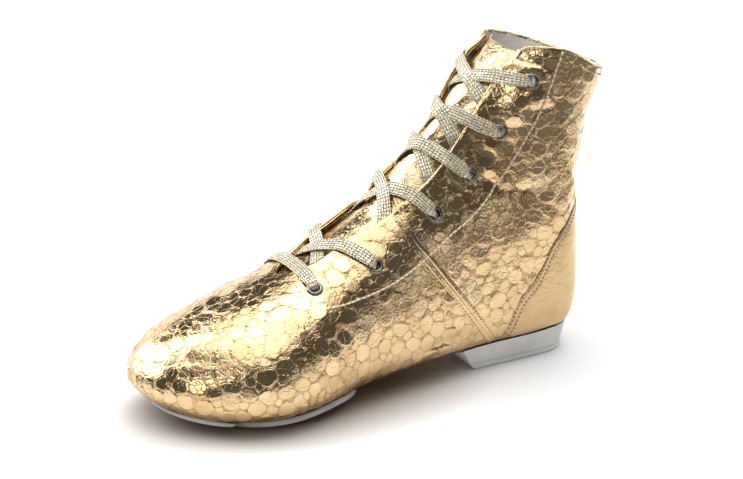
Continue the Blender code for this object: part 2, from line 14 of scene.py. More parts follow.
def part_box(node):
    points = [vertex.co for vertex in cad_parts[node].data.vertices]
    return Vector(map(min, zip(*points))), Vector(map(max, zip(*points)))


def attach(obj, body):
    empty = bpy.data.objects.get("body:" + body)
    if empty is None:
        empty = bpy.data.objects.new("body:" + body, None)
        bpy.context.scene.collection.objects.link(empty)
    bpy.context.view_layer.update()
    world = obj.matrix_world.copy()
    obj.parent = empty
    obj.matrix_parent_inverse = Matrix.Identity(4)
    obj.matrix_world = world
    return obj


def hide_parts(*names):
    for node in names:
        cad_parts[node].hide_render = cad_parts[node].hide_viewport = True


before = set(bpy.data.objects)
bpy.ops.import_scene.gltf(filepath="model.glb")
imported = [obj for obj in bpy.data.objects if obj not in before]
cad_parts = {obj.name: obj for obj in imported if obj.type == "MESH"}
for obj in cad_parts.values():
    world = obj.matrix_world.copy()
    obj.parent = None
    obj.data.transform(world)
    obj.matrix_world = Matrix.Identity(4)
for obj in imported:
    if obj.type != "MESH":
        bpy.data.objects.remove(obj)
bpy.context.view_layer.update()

MM = 0.001
SEED = 37
rng = np.random.default_rng(SEED)

# Driving sizes of the last
LENGTH = 238.0
BALL_WIDTH = 90.0
INSTEP_HEIGHT = 92.0
COLLAR_HEIGHT = 162.5
HEEL_HEIGHT = 9.6
SOLE_TOP = 2.3
WALL = 1.6

# Sections of the last from the toe's tip to the collar, as in the solids: x in per cent of LENGTH,
# across in per cent of BALL_WIDTH, heights in mm
COLUMNS = ("ridge_x", "ridge_z", "keel_x", "keel_z", "middle", "outer", "inner",
           "waist", "crown", "sole", "throat")
SECTIONS = {
    "toe_tip": (100.0, 20.0, 100.0, 20.0, -10.0, 0.0, 0.0, 0.50, 2.0, 2.0, 6.0),
    "toe_nose": (98.9, 26.8, 98.9, 14.5, -8.1, 18.9, 13.6, 0.42, 2.0, 2.2, 6.0),
    "toe_front": (95.8, 35.0, 95.8, 8.8, -6.8, 31.1, 26.9, 0.40, 2.0, 2.5, 6.0),
    "toe_root": (90.3, 43.6, 90.3, 4.1, -3.3, 41.8, 38.0, 0.38, 2.1, 2.9, 6.0),
    "tread": (82.8, 52.2, 82.8, 2.6, 0.2, 50.7, 44.0, 0.36, 2.1, 3.2, 7.0),
    "ball": (73.9, 59.6, 73.9, SOLE_TOP, 1.8, 53.8, 46.2, 0.35, 2.1, 3.3, 8.5),
    "joint": (64.3, 67.8, 64.3, 2.9, 1.0, 48.9, 43.6, 0.34, 2.1, 3.3, 10.5),
    "waist": (54.6, 79.8, 54.6, 5.2, 0.2, 43.3, 38.0, 0.32, 2.1, 3.3, 13.0),
    "instep": (46.2, INSTEP_HEIGHT, 46.2, 6.6, 0.0, 40.7, 35.6, 0.28, 2.1, 3.3, 16.8),
    "arch": (41.4, 103.5, 35.3, 7.9, 0.0, 38.2, 35.3, 0.24, 2.1, 3.4, 19.2),
    "breast": (37.6, 112.2, 23.5, 9.2, 0.0, 35.8, 35.8, 0.21, 2.1, 3.6, 20.2),
    "seat": (34.4, 120.8, 10.1, HEEL_HEIGHT, 0.0, 35.1, 35.8, 0.20, 2.1, 3.8, 20.0),
    "heel_turn": (31.8, 128.2, 1.9, 14.9, 0.0, 34.4, 35.3, 0.22, 2.1, 3.0, 19.4),
    "heel_back": (29.0, 135.3, -0.3, 40.0, 0.0, 34.4, 35.3, 0.30, 2.1, 2.5, 18.6),
    "ankle": (25.8, 143.2, -0.8, 73.0, 0.0, 34.7, 35.2, 0.42, 2.1, 2.2, 17.8),
    "shaft": (21.4, 152.6, -2.3, 106.5, 0.0, 35.1, 35.3, 0.48, 2.1, 2.0, 16.8),
    "collar": (16.4, COLLAR_HEIGHT, -7.7, 142.0, 0.0, 35.6, 36.1, 0.50, 2.1, 1.8, 15.5),
}
UNITS = {"ridge_x": LENGTH / 100, "keel_x": LENGTH / 100,
         "middle": BALL_WIDTH / 100, "outer": BALL_WIDTH / 100, "inner": BALL_WIDTH / 100}
CLOSING_COLUMNS = ("ridge_z", "keel_z", "outer", "inner")
TOP = len(SECTIONS) - 1
RING_SAMPLES = 721
TABLE_ROWS = 1601
TABLE_COLUMNS = 801
TABLE_T = np.linspace(0, TOP, TABLE_ROWS)
THROAT_START = 5.5
THROAT_ROUND = 1.0

# Heel, counter, seam, eyelets and patches. The counter's edge and the seam's foot follow the photograph
# a little more closely than the solids do
HEEL_CENTRE = np.array((34.0, 0.0))
HEEL_BACK_X = 3.6
HEEL_HALF_WIDTH = 27.8
HEEL_ROUND_FROM_X = 31.0
HEEL_POWER = 3.0
BREAST_TOP_X = 73.0
BREAST_FOOT_X = 65.0
HEEL_TAPER = 2.0
LIFT_THICKNESS = 2.5
COUNTER_EDGE = ((14.15, 0.0), (13.85, 0.235), (12.50, 0.390), (11.02, 0.362), (10.24, 0.238))
COUNTER_FRONT_X = 46.0
SEAM_LINE = ((8.30, 0.84), (8.55, 0.72), (9.00, 0.60), (9.57, 0.42), (10.03, 0.210))
EYELETS = ((5.92, 15.5), (7.30, 18.5), (9.58, 14.5), (11.42, 15.0), (13.56, 16.0), (15.28, 15.0))
SIDES = (("outer", 1), ("inner", -1))
PATCH_CENTRE = (170.0, 1.5)
PATCH_FRONT = 38.0
PATCH_REAR = 43.0
PATCH_OUTER = 41.0
PATCH_INNER = 37.0
PATCH_POWER = 2.15
CRESCENT_GAP = 4.0
CRESCENT_HALF_ANGLE = 47.0
CRESCENT_TURN = -4.0
CRESCENT_WIDTH = 17.0
CRESCENT_END_WIDTH = 4.0

# Lace
LACE_WIDTH = 6.8
LACE_THICKNESS = 1.05
LACE_RIBS = 5


# Points and lines
def unit(vectors):
    vectors = np.asarray(vectors, float)
    return vectors / np.maximum(np.linalg.norm(vectors, axis=-1, keepdims=True), 1e-12)


def run_along(points):
    """Distance of each point of a line from the line's start."""
    steps = np.linalg.norm(np.diff(points, axis=0), axis=1)
    return np.concatenate(([0.0], np.cumsum(steps)))


def columns_at(wanted, run, values):
    """Each column of the values, looked up at places along a run."""
    return np.column_stack([np.interp(wanted, run, column) for column in values.T])


def evenly(points, count):
    """Places at even distances along a line of points."""
    run = run_along(points)
    return columns_at(np.linspace(0, run[-1], count), run, points)


def cubic(f, start, end, start_slope, end_slope):
    """Curve from start to end with these slopes, at shares f of the way."""
    return ((2 * f ** 3 - 3 * f ** 2 + 1) * start + (f ** 3 - 2 * f ** 2 + f) * start_slope
            + (3 * f ** 2 - 2 * f ** 3) * end + (f ** 3 - f ** 2) * end_slope)


def through(points, steps):
    """Places along a smooth curve through points that are about evenly spaced."""
    points = np.asarray(points, float)
    slope = np.gradient(points, axis=0)
    spots = np.linspace(0, len(points) - 1, steps + 1)
    i = np.minimum(spots.astype(int), len(points) - 2)
    return cubic((spots - i)[:, None], points[i], points[i + 1], slope[i], slope[i + 1])


def between(table, row, column):
    """Values of a grid between its rows and columns."""
    i = np.minimum(row.astype(int), table.shape[0] - 2)
    j = np.minimum(column.astype(int), table.shape[1] - 2)
    f, g = (row - i)[..., None], (column - j)[..., None]
    return ((table[i, j] * (1 - g) + table[i, j + 1] * g) * (1 - f)
            + (table[i + 1, j] * (1 - g) + table[i + 1, j + 1] * g) * f)


def smooth(x, low, high):
    """Soft step from 0 at low to 1 at high."""
    f = np.clip((np.asarray(x, float) - low) / (high - low), 0, 1)
    return f * f * (3 - 2 * f)


def hump(x, width):
    """Bell of height 1 round 0."""
    return np.exp(-(x / width) ** 2)


def rounded(distance, radius):
    """Share of the full thickness at a distance from a rounded edge."""
    return np.sqrt(1 - (1 - np.clip(distance / radius, 0, 1)) ** 2)


def swings(angle, size, times, start):
    return size * np.sin(times * angle + start)


def waves(points, height, size, seed):
    """Smooth noise up to about this height, with lumps of about this size in mm."""
    offset = Vector((seed * 17.3, seed * -5.9, seed * 11.7))
    flat = points.reshape(-1, 3) / size
    return height * np.array([noise.noise(Vector(p) + offset) for p in flat]).reshape(points.shape[:-1])


# Skin of the last
def spline(values, closing):
    """Natural cubic spline through one column. Rows mirrored past the toe's tip round the nose off."""
    values = np.asarray(values, float)
    mirrored = values[2:0:-1]
    if closing:
        mirrored = 2 * values[0] - mirrored
    knots = np.concatenate((mirrored, values))
    count = len(knots)
    matrix = np.eye(count)
    bend = np.zeros(count)
    for i in range(1, count - 1):
        matrix[i, i - 1:i + 2] = (1, 4, 1)
        bend[i] = 6 * (knots[i - 1] - 2 * knots[i] + knots[i + 1])
    bend = np.linalg.solve(matrix, bend)

    def at(t):
        spot = np.clip(np.asarray(t, float) + len(mirrored), 0.0, count - 1 - 1e-9)
        i = spot.astype(int)
        f = spot - i
        g = 1 - f
        return g * knots[i] + f * knots[i + 1] + ((g ** 3 - g) * bend[i] + (f ** 3 - f) * bend[i + 1]) / 6

    return at


TABLE = np.array(list(SECTIONS.values()))
CURVES = {name: spline(TABLE[:, i] * UNITS.get(name, 1.0), name in CLOSING_COLUMNS)
          for i, name in enumerate(COLUMNS)}
ANGLES = np.linspace(0, math.pi, RING_SAMPLES)


def half_ring(t, side):
    """Points from the ridge down one side to the keel at station t, and their distances from the ridge."""
    s = {name: curve(t) for name, curve in CURVES.items()}
    above = np.cos(ANGLES) > 0
    power = 2 / np.where(above, s["crown"], s["sole"])
    rise = np.abs(np.cos(ANGLES)) ** power
    along = np.where(above, s["waist"] + (1 - s["waist"]) * rise, s["waist"] * (1 - rise))
    width = s["outer"] if side > 0 else s["inner"]
    points = np.column_stack((
        s["keel_x"] + along * (s["ridge_x"] - s["keel_x"]),
        s["middle"] + side * width * np.abs(np.sin(ANGLES)) ** power,
        s["keel_z"] + along * (s["ridge_z"] - s["keel_z"])))
    return points, run_along(points)


def skin_tables():
    """Points and normals of the last at even stations and turns, and the length of its two sides.
    A turn is 0 at the keel, 1 at the ridge going by the outer side and -1 going by the inner one."""
    turns = np.linspace(-1, 1, TABLE_COLUMNS)
    points = np.empty((TABLE_ROWS, TABLE_COLUMNS, 3))
    lengths = np.empty((TABLE_ROWS, 2))
    for i, t in enumerate(TABLE_T):
        for k, side in enumerate((-1, 1)):
            ring, run = half_ring(t, side)
            lengths[i, k] = run[-1]
            mine = turns * side >= 0
            points[i, mine] = columns_at((1 - np.abs(turns[mine])) * run[-1], run, ring)
    along, across = np.gradient(points, axis=0), np.gradient(points, axis=1)
    across[:, 0] = across[:, -1] = (points[:, 1] - points[:, -2]) / 2
    outward = unit(np.cross(along, across))
    outward[0] = outward[1]
    return points, outward, lengths


SKIN, SKIN_OUT, SKIN_LENGTHS = skin_tables()


def look(table, t, turn):
    """Value of a table of the skin at stations and turns."""
    t, turn = np.broadcast_arrays(np.asarray(t, float), np.asarray(turn, float))
    row = np.clip(t / TOP, 0, 1) * (TABLE_ROWS - 1)
    column = (turn + 1) % 2 / 2 * (TABLE_COLUMNS - 1)
    return between(table, row, column)


def on_skin(t, turn):
    return look(SKIN, t, turn)


def normals(t, turn):
    return unit(look(SKIN_OUT, t, turn))


def skin(t, turn, out=0.0):
    """Skin points moved out along the normal."""
    return on_skin(t, turn) + normals(t, turn) * np.asarray(out, float)[..., None]


def on_places(places, out):
    """Skin points for places of station and turn, moved out."""
    return skin(places[..., 0], places[..., 1], out)


def slopes(t, turn, step=0.02):
    """Change of the skin point with station and with turn."""
    by_station = (on_skin(t + step, turn) - on_skin(t - step, turn)) / (2 * step)
    by_turn = (on_skin(t, turn + step) - on_skin(t, turn - step)) / (2 * step)
    return by_station, by_turn


def side_length(t, side):
    return np.interp(t, TABLE_T, SKIN_LENGTHS[:, 1 if side > 0 else 0])


def ridge_turn(t, distance):
    """Turn of the point this far from the ridge, positive on the outer side."""
    outer = np.asarray(distance) >= 0
    length = np.where(outer, side_length(t, 1), side_length(t, -1))
    return np.where(outer, 1, -1) * (1 - np.abs(distance) / length)


def half_gap(t):
    """Half of the throat's opening, measured along the skin from the ridge."""
    part = np.clip((np.asarray(t, float) - THROAT_START) / THROAT_ROUND, 0.0, 1.0)
    return CURVES["throat"](t) * np.sqrt(1 - (1 - part) ** 2)


# Search for the underside: its stations and farthest turn, the first guesses, the rounds, and the
# longest step in station and in turn
UNDERSIDE = (0.3, 13.0)
UNDERSIDE_TURN = 0.5
UNDERSIDE_GUESSES = 61
UNDERSIDE_ROUNDS = 14
LONGEST_STEP = (0.6, 0.1)


def under(x, y):
    """Station and turn of the skin's underside at places in plan, by Newton's steps from the keel."""
    x, y = np.broadcast_arrays(np.asarray(x, float), np.asarray(y, float))
    stations = np.linspace(*UNDERSIDE, UNDERSIDE_GUESSES)
    t = np.interp(-x, -CURVES["keel_x"](stations), stations)
    turn = np.zeros(x.shape)
    far_t, far_turn = LONGEST_STEP
    for _ in range(UNDERSIDE_ROUNDS):
        here = on_skin(t, turn)
        by_station, by_turn = slopes(t, turn)
        a, b = by_station[..., 0], by_turn[..., 0]
        c, d = by_station[..., 1], by_turn[..., 1]
        more_x, more_y = x - here[..., 0], y - here[..., 1]
        size = a * d - b * c
        step_t = np.clip((d * more_x - b * more_y) / size, -far_t, far_t)
        step_turn = np.clip((a * more_y - c * more_x) / size, -far_turn, far_turn)
        t = np.clip(t + step_t, *UNDERSIDE)
        turn = np.clip(turn + step_turn, -UNDERSIDE_TURN, UNDERSIDE_TURN)
    return t, turn


def below_skin(x, y, out):
    return skin(*under(x, y), out)


# The last's own axes lie where the solids put the heel's top lift
lift_low, lift_high = (np.array(corner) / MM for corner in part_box("heel_top_lift"))
SHIFT = np.array((lift_low[0] - HEEL_BACK_X - HEEL_TAPER, (lift_low[1] + lift_high[1]) / 2, 0.0))


def place(points):
    """Millimetres on the last to metres in the frame."""
    return (np.asarray(points, float) + SHIFT) * MM


# Materials
WHITE = (1.0, 1.0, 1.0)
GROUND_TINT = (0.93, 0.90, 0.86)
WORN_TINT = (0.84, 0.79, 0.72)


class Nodes:
    """Nodes of a material or of the world. Inputs that are sockets get linked, and values get set."""

    def __init__(self, owner):
        owner.use_nodes = True
        self.tree = owner.node_tree

    def feed(self, node, inputs):
        for key, value in inputs.items():
            if isinstance(value, bpy.types.NodeSocket):
                self.tree.links.new(value, node.inputs[key])
            else:
                node.inputs[key].default_value = value

    def add(self, kind, output, inputs=None, **settings):
        """One output of a new node."""
        node = self.tree.nodes.new(f"ShaderNode{kind}")
        for key, value in settings.items():
            setattr(node, key, value)
        self.feed(node, inputs or {})
        return node.outputs[output]

    def spot(self):
        return self.add("TexCoord", "Object")

    def math(self, operation, *inputs):
        return self.add("Math", "Value", dict(enumerate(inputs)), operation=operation)

    def towards(self, where, way):
        """How far a place lies in a direction."""
        return self.add("VectorMath", "Value", {0: where, 1: way}, operation="DOT_PRODUCT")

    def span(self, source, start=0.0, end=1.0, first=0.0, last=1.0, soft=False):
        """Value that goes from first to last while the source goes from start to end."""
        inputs = {"Value": source, "From Min": start, "From Max": end, "To Min": first, "To Max": last}
        kind = "SMOOTHSTEP" if soft else "LINEAR"
        return self.add("MapRange", "Result", inputs, interpolation_type=kind)

    def noise(self, where, scale, detail, roughness=0.5, output="Fac"):
        inputs = {"Vector": where, "Scale": scale, "Detail": detail, "Roughness": roughness}
        return self.add("TexNoise", output, inputs)

    def cells(self, where, scale):
        """Distance from the edges of irregular cells."""
        inputs = {"Vector": where, "Scale": scale}
        return self.add("TexVoronoi", "Distance", inputs, feature="DISTANCE_TO_EDGE")

    def tint(self, source, *stops):
        """Colour from a ramp whose stops are places and colours."""
        node = self.tree.nodes.new("ShaderNodeValToRGB")
        ends = node.color_ramp.elements
        while len(ends) < len(stops):
            ends.new(0.5)
        for element, (spot, colour) in zip(ends, stops):
            element.position = spot
            element.color = (*colour, 1.0)
        self.feed(node, {"Fac": source})
        return node.outputs["Color"]

    def product(self, first, second):
        """Product of two colours. The mix node's colour sockets go by number, as their names repeat."""
        inputs = {"Factor": 1.0, 6: first, 7: second}
        return self.add("Mix", 2, inputs, data_type="RGBA", blend_type="MULTIPLY")

    def shade(self, inputs, bumps=()):
        """Feeds the shader. A bump is a height, its strength and its depth in metres."""
        for height, strength, depth in bumps:
            bump = {"Height": height, "Strength": strength, "Distance": depth}
            if "Normal" in inputs:
                bump["Normal"] = inputs["Normal"]
            inputs = {**inputs, "Normal": self.add("Bump", "Normal", bump)}
        self.feed(self.tree.nodes["Principled BSDF"], inputs)


def new_material(name):
    material = bpy.data.materials.new(name)
    return material, Nodes(material)


def foil_leather(name, light, dark, line, plate_rough, ground_rough, wrinkle):
    """Gold foil on soft leather. The attribute border is how far a point lies inside a plate's edge in mm,
    tone is random from plate to plate. line tints the edge of a plate."""
    material, nodes = new_material(name)
    spot = nodes.spot()
    border, tone = (nodes.add("Attribute", "Fac", attribute_name=key) for key in ("border", "tone"))
    plate = nodes.span(border, -0.25, 0.12, soft=True)
    rub = nodes.noise(spot, 70.0, 6.0, 0.62)
    crack = nodes.noise(spot, 900.0, 5.0, 0.7)
    drift = nodes.noise(spot, 120.0, 3.0, output="Color")
    bent = nodes.add("VectorMath", "Vector", {0: drift, 1: (0.006,) * 3, 2: spot}, operation="MULTIPLY_ADD")
    crease = nodes.span(nodes.cells(bent, 210.0), 0.0, 0.07, soft=True)
    edging = nodes.tint(nodes.span(border, -0.6, 0.6), (0.0, GROUND_TINT), (0.38, GROUND_TINT),
                        (0.47, line), (0.54, line), (0.66, WHITE))
    wear = nodes.tint(rub, (0.34, WORN_TINT), (0.62, WHITE))
    colour = nodes.product(nodes.product(nodes.tint(tone, (0.0, dark), (1.0, light)), edging), wear)
    rough = nodes.math("MULTIPLY_ADD", rub, 0.10, nodes.span(plate, first=ground_rough, last=plate_rough))
    folds = nodes.math("MULTIPLY", nodes.cells(spot, 430.0), nodes.span(plate, first=1.0, last=0.12))
    nodes.shade({"Base Color": colour, "Metallic": 1.0, "Roughness": rough},
                ((folds, wrinkle, 0.0010), (plate, 0.30, 0.00012), (crease, 0.42, 0.00010),
                 (crack, 0.14, 0.0004)))
    return material


def suede(name, light, dark):
    """Grey split leather with a short nap: mottled colour, fine fibres, a soft sheen."""
    material, nodes = new_material(name)
    spot = nodes.spot()
    cloud = nodes.noise(spot, 55.0, 7.0, 0.65)
    fibre = nodes.noise(spot, 1400.0, 4.0, 0.7)
    colour = nodes.tint(nodes.math("MULTIPLY_ADD", fibre, 0.45, cloud), (0.52, dark), (0.88, light))
    nodes.shade({"Base Color": colour, "Roughness": 0.95, "Specular IOR Level": 0.2,
                 "Sheen Weight": 0.35, "Sheen Roughness": 0.5},
                ((cloud, 0.25, 0.0012), (fibre, 0.5, 0.0003)))
    return material


def heel_rubber():
    """Matt grey heel: fine grain and faint clouds."""
    material, nodes = new_material("heel_grey")
    spot = nodes.spot()
    cloud = nodes.noise(spot, 38.0, 8.0, 0.6)
    grain = nodes.noise(spot, 1700.0, 3.0)
    colour = nodes.tint(cloud, (0.3, (0.60, 0.595, 0.58)), (0.72, (0.75, 0.745, 0.73)))
    rough = nodes.span(cloud, first=0.62, last=0.85)
    nodes.shade({"Base Color": colour, "Roughness": rough}, ((grain, 0.35, 0.0002),))
    return material


def lining_cloth():
    """Grey-beige woven cloth: two sets of threads in the mesh's own grid."""
    material, nodes = new_material("lining_cloth")
    weave = nodes.add("UVMap", "UV", uv_map="cloth")
    bands = {"Vector": weave, "Scale": 0.5, "Distortion": 0.6}
    warp, weft = (nodes.add("TexWave", "Fac", bands, bands_direction=axis) for axis in "XY")
    cross = nodes.math("MULTIPLY", warp, weft)
    colour = nodes.tint(cross, (0.0, (0.74, 0.70, 0.64)), (1.0, (0.93, 0.89, 0.83)))
    nodes.shade({"Base Color": colour, "Roughness": 0.92, "Sheen Weight": 0.15}, ((cross, 0.5, 0.0003),))
    return material


def nickel():
    """Polished dark nickel with fine rubbing marks."""
    material, nodes = new_material("nickel_plate")
    rub = nodes.noise(nodes.spot(), 420.0, 6.0, 0.7)
    colour = nodes.tint(rub, (0.3, (0.15, 0.14, 0.13)), (0.7, (0.34, 0.32, 0.30)))
    rough = nodes.span(rub, first=0.12, last=0.34)
    nodes.shade({"Base Color": colour, "Metallic": 1.0, "Roughness": rough}, ((rub, 0.06, 0.0002),))
    return material


def thread(name, light, dark):
    """Twisted thread, with a slight change from place to place."""
    material, nodes = new_material(name)
    twist = nodes.noise(nodes.spot(), 1500.0, 2.0)
    colour = nodes.tint(twist, (0.3, dark), (0.7, light))
    nodes.shade({"Base Color": colour, "Roughness": 0.55, "Sheen Weight": 0.2}, ((twist, 0.4, 0.0002),))
    return material


def braid():
    """Flat metallic braid: short bright and olive yarns on ribs, in their own colour, with painted glints on
    the brightest and painted shade in the dark lines where ribs and yarns dip. The map braid is in mm,
    across and along."""
    material, nodes = new_material("lurex_braid_fine")
    where = nodes.add("UVMap", "UV", uv_map="braid")
    across, along = (nodes.add("SeparateXYZ", axis, {"Vector": where}) for axis in "XY")
    rib = nodes.math("PINGPONG", across, LACE_WIDTH / LACE_RIBS / 2)
    crest = nodes.span(rib, 0.03, 0.30, soft=True)
    slant = nodes.math("MULTIPLY_ADD", rib, 1.6, along)
    loose = nodes.math("MULTIPLY_ADD", nodes.noise(where, 0.9, 2.0), 2.4, slant)
    yarn = nodes.span(nodes.math("PINGPONG", loose, 0.95), 0.0, 0.62, soft=True)
    stretched = nodes.add("Mapping", "Vector", {"Vector": where, "Scale": (1.6, 0.55, 1.0)})
    glint = nodes.noise(stretched, 1.2, 3.0, 0.85)
    height = nodes.math("MULTIPLY", crest, yarn)
    mixed = nodes.math("MULTIPLY_ADD", height, 0.46, glint)
    # painted light: the darkest stop is painted shade where ribs and yarns dip, the brightest painted glints;
    # the middle stops are the yarns' own olive and cream
    colour = nodes.tint(mixed, (0.38, (0.040, 0.028, 0.009)), (0.53, (0.29, 0.22, 0.085)),
                        (0.70, (0.76, 0.64, 0.37)), (0.87, (1.0, 0.96, 0.82)))
    rough = nodes.span(mixed, first=0.6, last=0.26)
    nodes.shade({"Base Color": colour, "Metallic": 0.55, "Roughness": rough},
                ((height, 0.9, 0.0005), (glint, 0.3, 0.0003)))
    return material


# Meshes
def facing_out(points, faces):
    """The faces, turned round if the solid they make is inside out."""
    fans = np.array([(face[0], face[k], face[k + 1]) for face in faces for k in range(1, len(face) - 1)])
    a, b, c = (np.asarray(points, float) - np.mean(points, axis=0))[fans.T]
    volume = (a * np.cross(b, c)).sum()
    return faces if volume > 0 else [tuple(reversed(face)) for face in faces]


def make_piece(name, points, faces, material, slot, replaced=(), attributes=None):
    """One smooth mesh from points in mm that rides on the boot's only body."""
    mesh = bpy.data.meshes.new(name)
    mesh.from_pydata(place(points).tolist(), [], facing_out(points, faces))
    mesh.shade_smooth()
    mesh.materials.append(material)
    for key, values in (attributes or {}).items():
        layer = mesh.attributes.new(key, "FLOAT", "POINT")
        layer.data.foreach_set("value", np.asarray(values, np.float32))
    piece = bpy.data.objects.new(name, mesh)
    bpy.context.collection.objects.link(piece)
    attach(piece, "root")
    if replaced:
        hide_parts(*replaced)
    return piece


def add_map(piece, name, values):
    """UV map from one pair of values for each point."""
    mesh = piece.data
    layer = mesh.uv_layers.new(name=name)
    corners = np.empty(len(mesh.loops), np.int32)
    mesh.loops.foreach_get("vertex_index", corners)
    layer.data.foreach_set("uv", np.asarray(values, np.float32)[corners].ravel())


def grid_faces(rows, columns, start=0, closed=False):
    """Quads of a grid of points, whose columns close to a ring if asked."""
    faces = []
    for i in range(rows - 1):
        for j in range(columns if closed else columns - 1):
            k = (j + 1) % columns
            a = start + i * columns
            faces.append((a + j, a + k, a + columns + k, a + columns + j))
    return faces


def slab(top, bottom):
    """Points and faces of a closed solid between two grids of points."""
    rows, columns = top.shape[:2]
    shift = rows * columns
    points = np.concatenate((top.reshape(-1, 3), bottom.reshape(-1, 3)))
    faces = grid_faces(rows, columns)
    faces += [tuple(reversed(face)) for face in grid_faces(rows, columns, shift)]
    edge = list(range(columns))
    edge += [i * columns + columns - 1 for i in range(1, rows)]
    edge += [(rows - 1) * columns + j for j in range(columns - 2, -1, -1)]
    edge += [i * columns for i in range(rows - 2, 0, -1)]
    faces += [(b, a, shift + a, shift + b) for a, b in zip(edge, edge[1:] + edge[:1])]
    return points, faces


def ring_loft(rings):
    """Points and faces of a closed solid through rings of points, with a fan at each end."""
    rings = np.asarray(rings)
    count = rings.shape[1]
    points = np.concatenate((rings.reshape(-1, 3), [rings[0].mean(axis=0)], [rings[-1].mean(axis=0)]))
    faces = grid_faces(len(rings), count, closed=True)
    first, last = len(points) - 2, len(points) - 1
    end = (len(rings) - 1) * count
    for j in range(count):
        k = (j + 1) % count
        faces.append((first, k, j))
        faces.append((last, end + j, end + k))
    return points, faces


def compact(faces, count):
    """Numbers of the points that the faces use, new numbers for all points, and the faces in these."""
    used = np.unique(np.concatenate([np.array(face) for face in faces]))
    order = np.zeros(count, int)
    order[used] = np.arange(len(used))
    return used, order, [tuple(int(order[p]) for p in face) for face in faces]


# Grid of the leather: rows along the last, columns round it. The guides say at which turns the rows'
# spacing is measured, and how much each counts
ROWS = 470
LEATHER_COLUMNS = 344
SPLIT_ROW = 235
NOSE_ROW = 0.06
ROW_GUIDES = ((0.0, 0.3), (0.5, 0.5), (0.95, 0.2))
ROW_TRIALS = 1201

# How far the soft collar stands up on its outer side, the turn where it is highest, how far that spreads,
# and the station where it starts. How far its corners at the throat are rounded down, over what distance,
# and from which station
RIM_LIFT = 6.0
RIM_LIFT_TURN = 0.60
RIM_LIFT_SPREAD = 0.19
RIM_LIFT_FROM = 14.6
CORNER_DROP = 2.5
CORNER_REACH = 7.0
CORNER_FROM = 15.2


def row_stations():
    """Stations of the leather's rows, about evenly spaced on the skin, with one at the throat's start."""
    fine = np.linspace(NOSE_ROW, TOP, ROW_TRIALS)
    run = sum(weight * run_along(on_skin(fine, turn)) for turn, weight in ROW_GUIDES)
    rows = np.interp(np.linspace(0, run[-1], ROWS), run, fine)
    rows[np.argmin(abs(rows - THROAT_START))] = THROAT_START
    return rows


ROW_T = row_stations()
FIRST_OPEN = int(np.searchsorted(ROW_T, THROAT_START))
ROW_GAP = half_gap(ROW_T)
LOW_TURN = ridge_turn(ROW_T, -ROW_GAP - 1e-9)
HIGH_TURN = ridge_turn(ROW_T, ROW_GAP)
SHARES = np.linspace(0, 1, LEATHER_COLUMNS + 1)
TURN = LOW_TURN[:, None] + (HIGH_TURN - LOW_TURN)[:, None] * SHARES
STATION = np.repeat(ROW_T[:, None], LEATHER_COLUMNS + 1, axis=1)
SIDE_LENGTH = np.where(TURN >= 0, side_length(STATION, 1), side_length(STATION, -1))
FROM_RIDGE = (1 - np.abs(TURN)) * SIDE_LENGTH
FROM_EDGE = FROM_RIDGE - ROW_GAP[:, None]
RIM_SHAPE = hump(TURN - RIM_LIFT_TURN, RIM_LIFT_SPREAD) * smooth(STATION, RIM_LIFT_FROM, TOP)
CORNER_SHAPE = smooth(FROM_EDGE, CORNER_REACH, 0.0) ** 2 * smooth(STATION, CORNER_FROM, TOP)
BASE = on_skin(STATION, TURN)
BASE[..., 2] += RIM_LIFT * RIM_SHAPE - CORNER_DROP * CORNER_SHAPE
OUTWARD = normals(STATION, TURN)


def near_line(points, line, reach):
    """Distance from each point to a line of points, and the place along it from 0 to 1. Points farther off
    than reach get reach."""
    distance = np.full(points.shape[:-1], float(reach))
    share = np.zeros(points.shape[:-1])
    low, high = line.min(axis=0) - reach, line.max(axis=0) + reach
    close = np.all((points > low) & (points < high), axis=-1)
    some = points[close]
    if len(some):
        best = np.full(len(some), float(reach))
        where = np.zeros(len(some))
        for k, spot in enumerate(line):
            d = np.linalg.norm(some - spot, axis=1)
            nearer = d < best
            best[nearer] = d[nearer]
            where[nearer] = k / (len(line) - 1)
        distance[close] = best
        share[close] = where
    return distance, share


def skin_line(places, steps):
    """Points on the skin along a smooth curve through places of station and turn."""
    return on_skin(*through(places, steps).T)


def counter_turn(t):
    """Turn of the counter's upper edge at each station, and 0 where it has none."""
    edge = through(COUNTER_EDGE, 40)[::-1]
    return np.interp(t, edge[:, 0], edge[:, 1], left=0.0, right=0.0)


def patch_reach(angle):
    """Distance from the forefoot patch's centre to its edge. Angle 0 points to the toe."""
    c, s = np.cos(angle), np.sin(angle)
    length = np.where(c > 0, PATCH_FRONT, PATCH_REAR)
    width = np.where(s > 0, PATCH_OUTER, PATCH_INNER)
    return (np.abs(c / length) ** PATCH_POWER + np.abs(s / width) ** PATCH_POWER) ** (-1 / PATCH_POWER)


def round_patch(angle, reach):
    """Place in plan at an angle round the patch's centre and a distance from it."""
    return PATCH_CENTRE[0] + reach * np.cos(angle), PATCH_CENTRE[1] + reach * np.sin(angle)


def patch_angle(points):
    """Angle round the patch's centre, and how far a point lies outside the patch's edge in plan."""
    x, y = points[..., 0] - PATCH_CENTRE[0], points[..., 1] - PATCH_CENTRE[1]
    angle = np.arctan2(y, x)
    return angle, np.hypot(x, y) - patch_reach(angle)


def eyelet_place(number, side):
    """Station and signed distance from the ridge of an eyelet, counted from the toe."""
    t, inset = EYELETS[number]
    return t, side * (half_gap(t) + inset)


EYELET_SPOTS = [(word, number, *eyelet_place(number, side))
                for word, side in SIDES for number in range(len(EYELETS))]
EYELET_CENTRES = np.array([on_skin(t, ridge_turn(t, d)) for _, _, t, d in EYELET_SPOTS])
